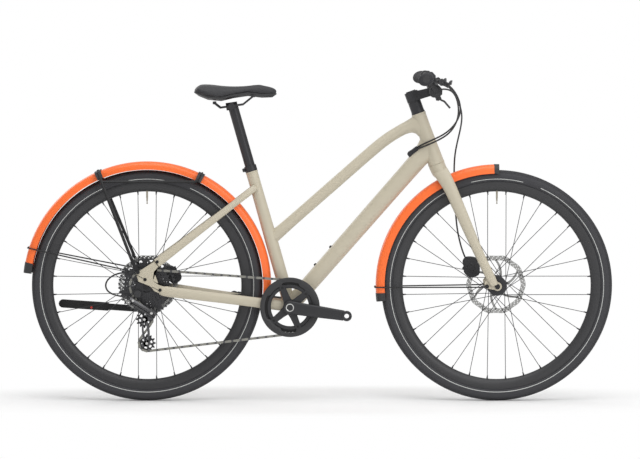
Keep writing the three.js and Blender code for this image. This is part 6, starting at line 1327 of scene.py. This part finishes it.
class BIKE_OT_bolts(BikeOperator):
    """Bolt heads on the dropout and derailleur, turned with a socket, with the dropout seams, the
    kickstand's slide and button, the cage plates and the pulleys.
    """
    bl_idname = "bike.bolts"
    bl_label = "Bolts"

    def execute(self, context):
        spots = [(rear_axle_x + x, y, z) for x, y, z in (
            (33.4, -79.8, 425.2), (-3.2, -77.6, 371.7), (41.9, -80, 339.9))]
        self.heads("dropout_bolts", spots, 5, STEEL, "frame")
        seams = [strip(np.array(path) + [rear_axle_x, 0], 1.6, -78, -77, 0.2)
                 for path in (((-30.5, 386.0), (-3.0, 372.5)), ((17.5, 349.8), (38.5, 338.5)))]
        make("dropout_seams", seams, STEEL, "frame", (), 35)
        self.stand()
        self.cage()
        self.pulleys()
        low, high = box("derailleur_outer_link")
        spots = [low + (high - low) * [x, 0, z] + ACROSS for x, z in ((0.14, 0.86), (0.86, 0.14))]
        self.heads("outer_link_pins", spots, 4.2, BRIGHT, "outer_link")
        return {"FINISHED"}

    def heads(self, name, spots, size, look, body):
        """Round heads with a socket, facing the chain side."""
        head = [(0, 0), (size, 0), (size, 1.6), (size * 0.9, 2.2), (size * 0.5, 2.4),
                (size * 0.45, 1), (0, 1)]
        make(name, [turned(spot, (0, -1, 0), head, 24) for spot in spots], look, body, (), 35)

    def cage(self):
        """Cage plates with a window, between the pulleys."""
        guide, tension = middle("guide_pulley") * [1, 0, 1], middle("tension_pulley") * [1, 0, 1]
        start, end = guide[[0, 2]], tension[[0, 2]]
        along = unit(end - start)
        across = np.array([-along[1], along[0]])
        share = np.linspace(0, 1, 24)[:, None]
        tail = end + [[0, 0], [-9.5, -3.5], [-15, -8]]
        pivot = start + [[0, 0], [10, 6], [19, 10.5]]
        thick = 1.6
        low, high = box("derailleur_cage")[:, 1]
        shells = []
        for y0 in (low, high - thick):
            y1 = y0 + thick
            for bow, width in ((8.5, 6.2), (-8.5, 4.8)):
                path = start + (end - start) * share + across * bow * np.sin(np.pi * share) ** 0.6
                shells.append(strip(path, width, y0, y1, 0.3))
            shells += [hoop(centre, [(3, y0), (3, y1), (10.8, y1), (10.8, y0)], 32)
                       for centre in (guide, tension)]
            shells += [strip(tail, [19, 13, 7], y0, y1, 0.3),
                       strip(pivot, [20, 22, 20], y0, y1, 0.3)]
        make("derailleur_cage_plates", shells, PLATE, "cage", ["derailleur_cage"], 35)

    def pulleys(self):
        """Pulleys of twelve teeth with six openings, and their bright axle bolts."""
        low, high = box("derailleur_cage")[:, 1]
        angle = even(12 * 16)
        edge = 20.6 + 6.2 * np.clip((np.cos(angle * 12) + 0.5) / 1.4, 0, 1)
        marks = np.linspace(4.2, 19, 8)
        radius = np.vstack([np.repeat(marks[:, None], len(angle), 1), edge[None]])
        mask = np.ones((8, len(angle)), bool)
        mask[3:6, (angle * 6 / (2 * np.pi)) % 1 < 0.5] = False
        reach = high - low + 1.6
        axle = [(0, 0), (3.4, 0), (4, 0.6), (4, 1.4), (4, reach), (0, reach)]
        for name in ("guide_pulley", "tension_pulley"):
            x, y, z = middle(name)
            wheel = pierced((x, 0, z), y - 1, y + 1, radius, mask)
            make(name + "_wheel", [wheel], NYLON, name, [name], 35)
            bolt = turned((x, low - 1, z), ACROSS, axle, 20)
            make(name + "_bolt", [bolt], BRIGHT, "cage", (), 35)

    def stand(self):
        """The kickstand's inner slide, which shows dark in the adjusting holes, and its button."""
        tilt = math.radians(4)
        way = np.array([-math.cos(tilt), math.sin(tilt)])
        pivot = np.array([rear_axle_x + 20, 268])
        path = pivot + np.array([[150], [190], [230], [262]]) * way
        make("kickstand_slide", [strip(path, 14, 83.8, 87.2, 0.2)], NYLON, "kickstand", (), 35)
        head = [(0, -1), (3.4, -1), (3.4, 1.2), (2.6, 1.8), (0, 1.8)]
        foot = upright(pivot + 195 * way - [0, 6], 80.8)
        make("kickstand_button", [turned(foot, (0, -1, 0), head, 20)], "red_moulded_button",
             "kickstand", (), 35)


class BIKE_PT_panel(bpy.types.Panel):
    """The sidebar's list of the bike's pieces."""
    bl_idname = "BIKE_PT_panel"
    bl_label = "Step-through bike"
    bl_space_type = "VIEW_3D"
    bl_region_type = "UI"
    bl_category = "Bike"

    def draw(self, context):
        for operator in OPERATORS:
            self.layout.operator(operator.bl_idname)


OPERATORS = (BIKE_OT_finishes, BIKE_OT_camera, BIKE_OT_hoses, BIKE_OT_stage, BIKE_OT_frame_tubes,
             BIKE_OT_stays, BIKE_OT_fork, BIKE_OT_tyres, BIKE_OT_rims, BIKE_OT_mudguards,
             BIKE_OT_bar, BIKE_OT_saddle, BIKE_OT_chain, BIKE_OT_cassette, BIKE_OT_rotors,
             BIKE_OT_crankset, BIKE_OT_calipers, BIKE_OT_bolts)
CLASSES = (BikeSizes, BikeColours, *OPERATORS, BIKE_PT_panel)


def register():
    """Registers the classes and gives the scene its sizes and colours."""
    for cls in CLASSES:
        bpy.utils.register_class(cls)
    bpy.types.Scene.bike_sizes = bpy.props.PointerProperty(type=BikeSizes)
    bpy.types.Scene.bike_colours = bpy.props.PointerProperty(type=BikeColours)


def unregister():
    """Takes all of that away again."""
    del bpy.types.Scene.bike_sizes
    del bpy.types.Scene.bike_colours
    for cls in reversed(CLASSES):
        bpy.utils.unregister_class(cls)


def main():
    register()
    for operator in OPERATORS:
        family, name = operator.bl_idname.split(".")
        result = getattr(getattr(bpy.ops, family), name)()
        if result != {"FINISHED"}:
            raise RuntimeError(operator.bl_idname + " did not finish")


def corners(bounds):
    """A box as plain lists of numbers."""
    return [[float(value) for value in corner] for corner in bounds]


if __name__ == "__main__":
    main()
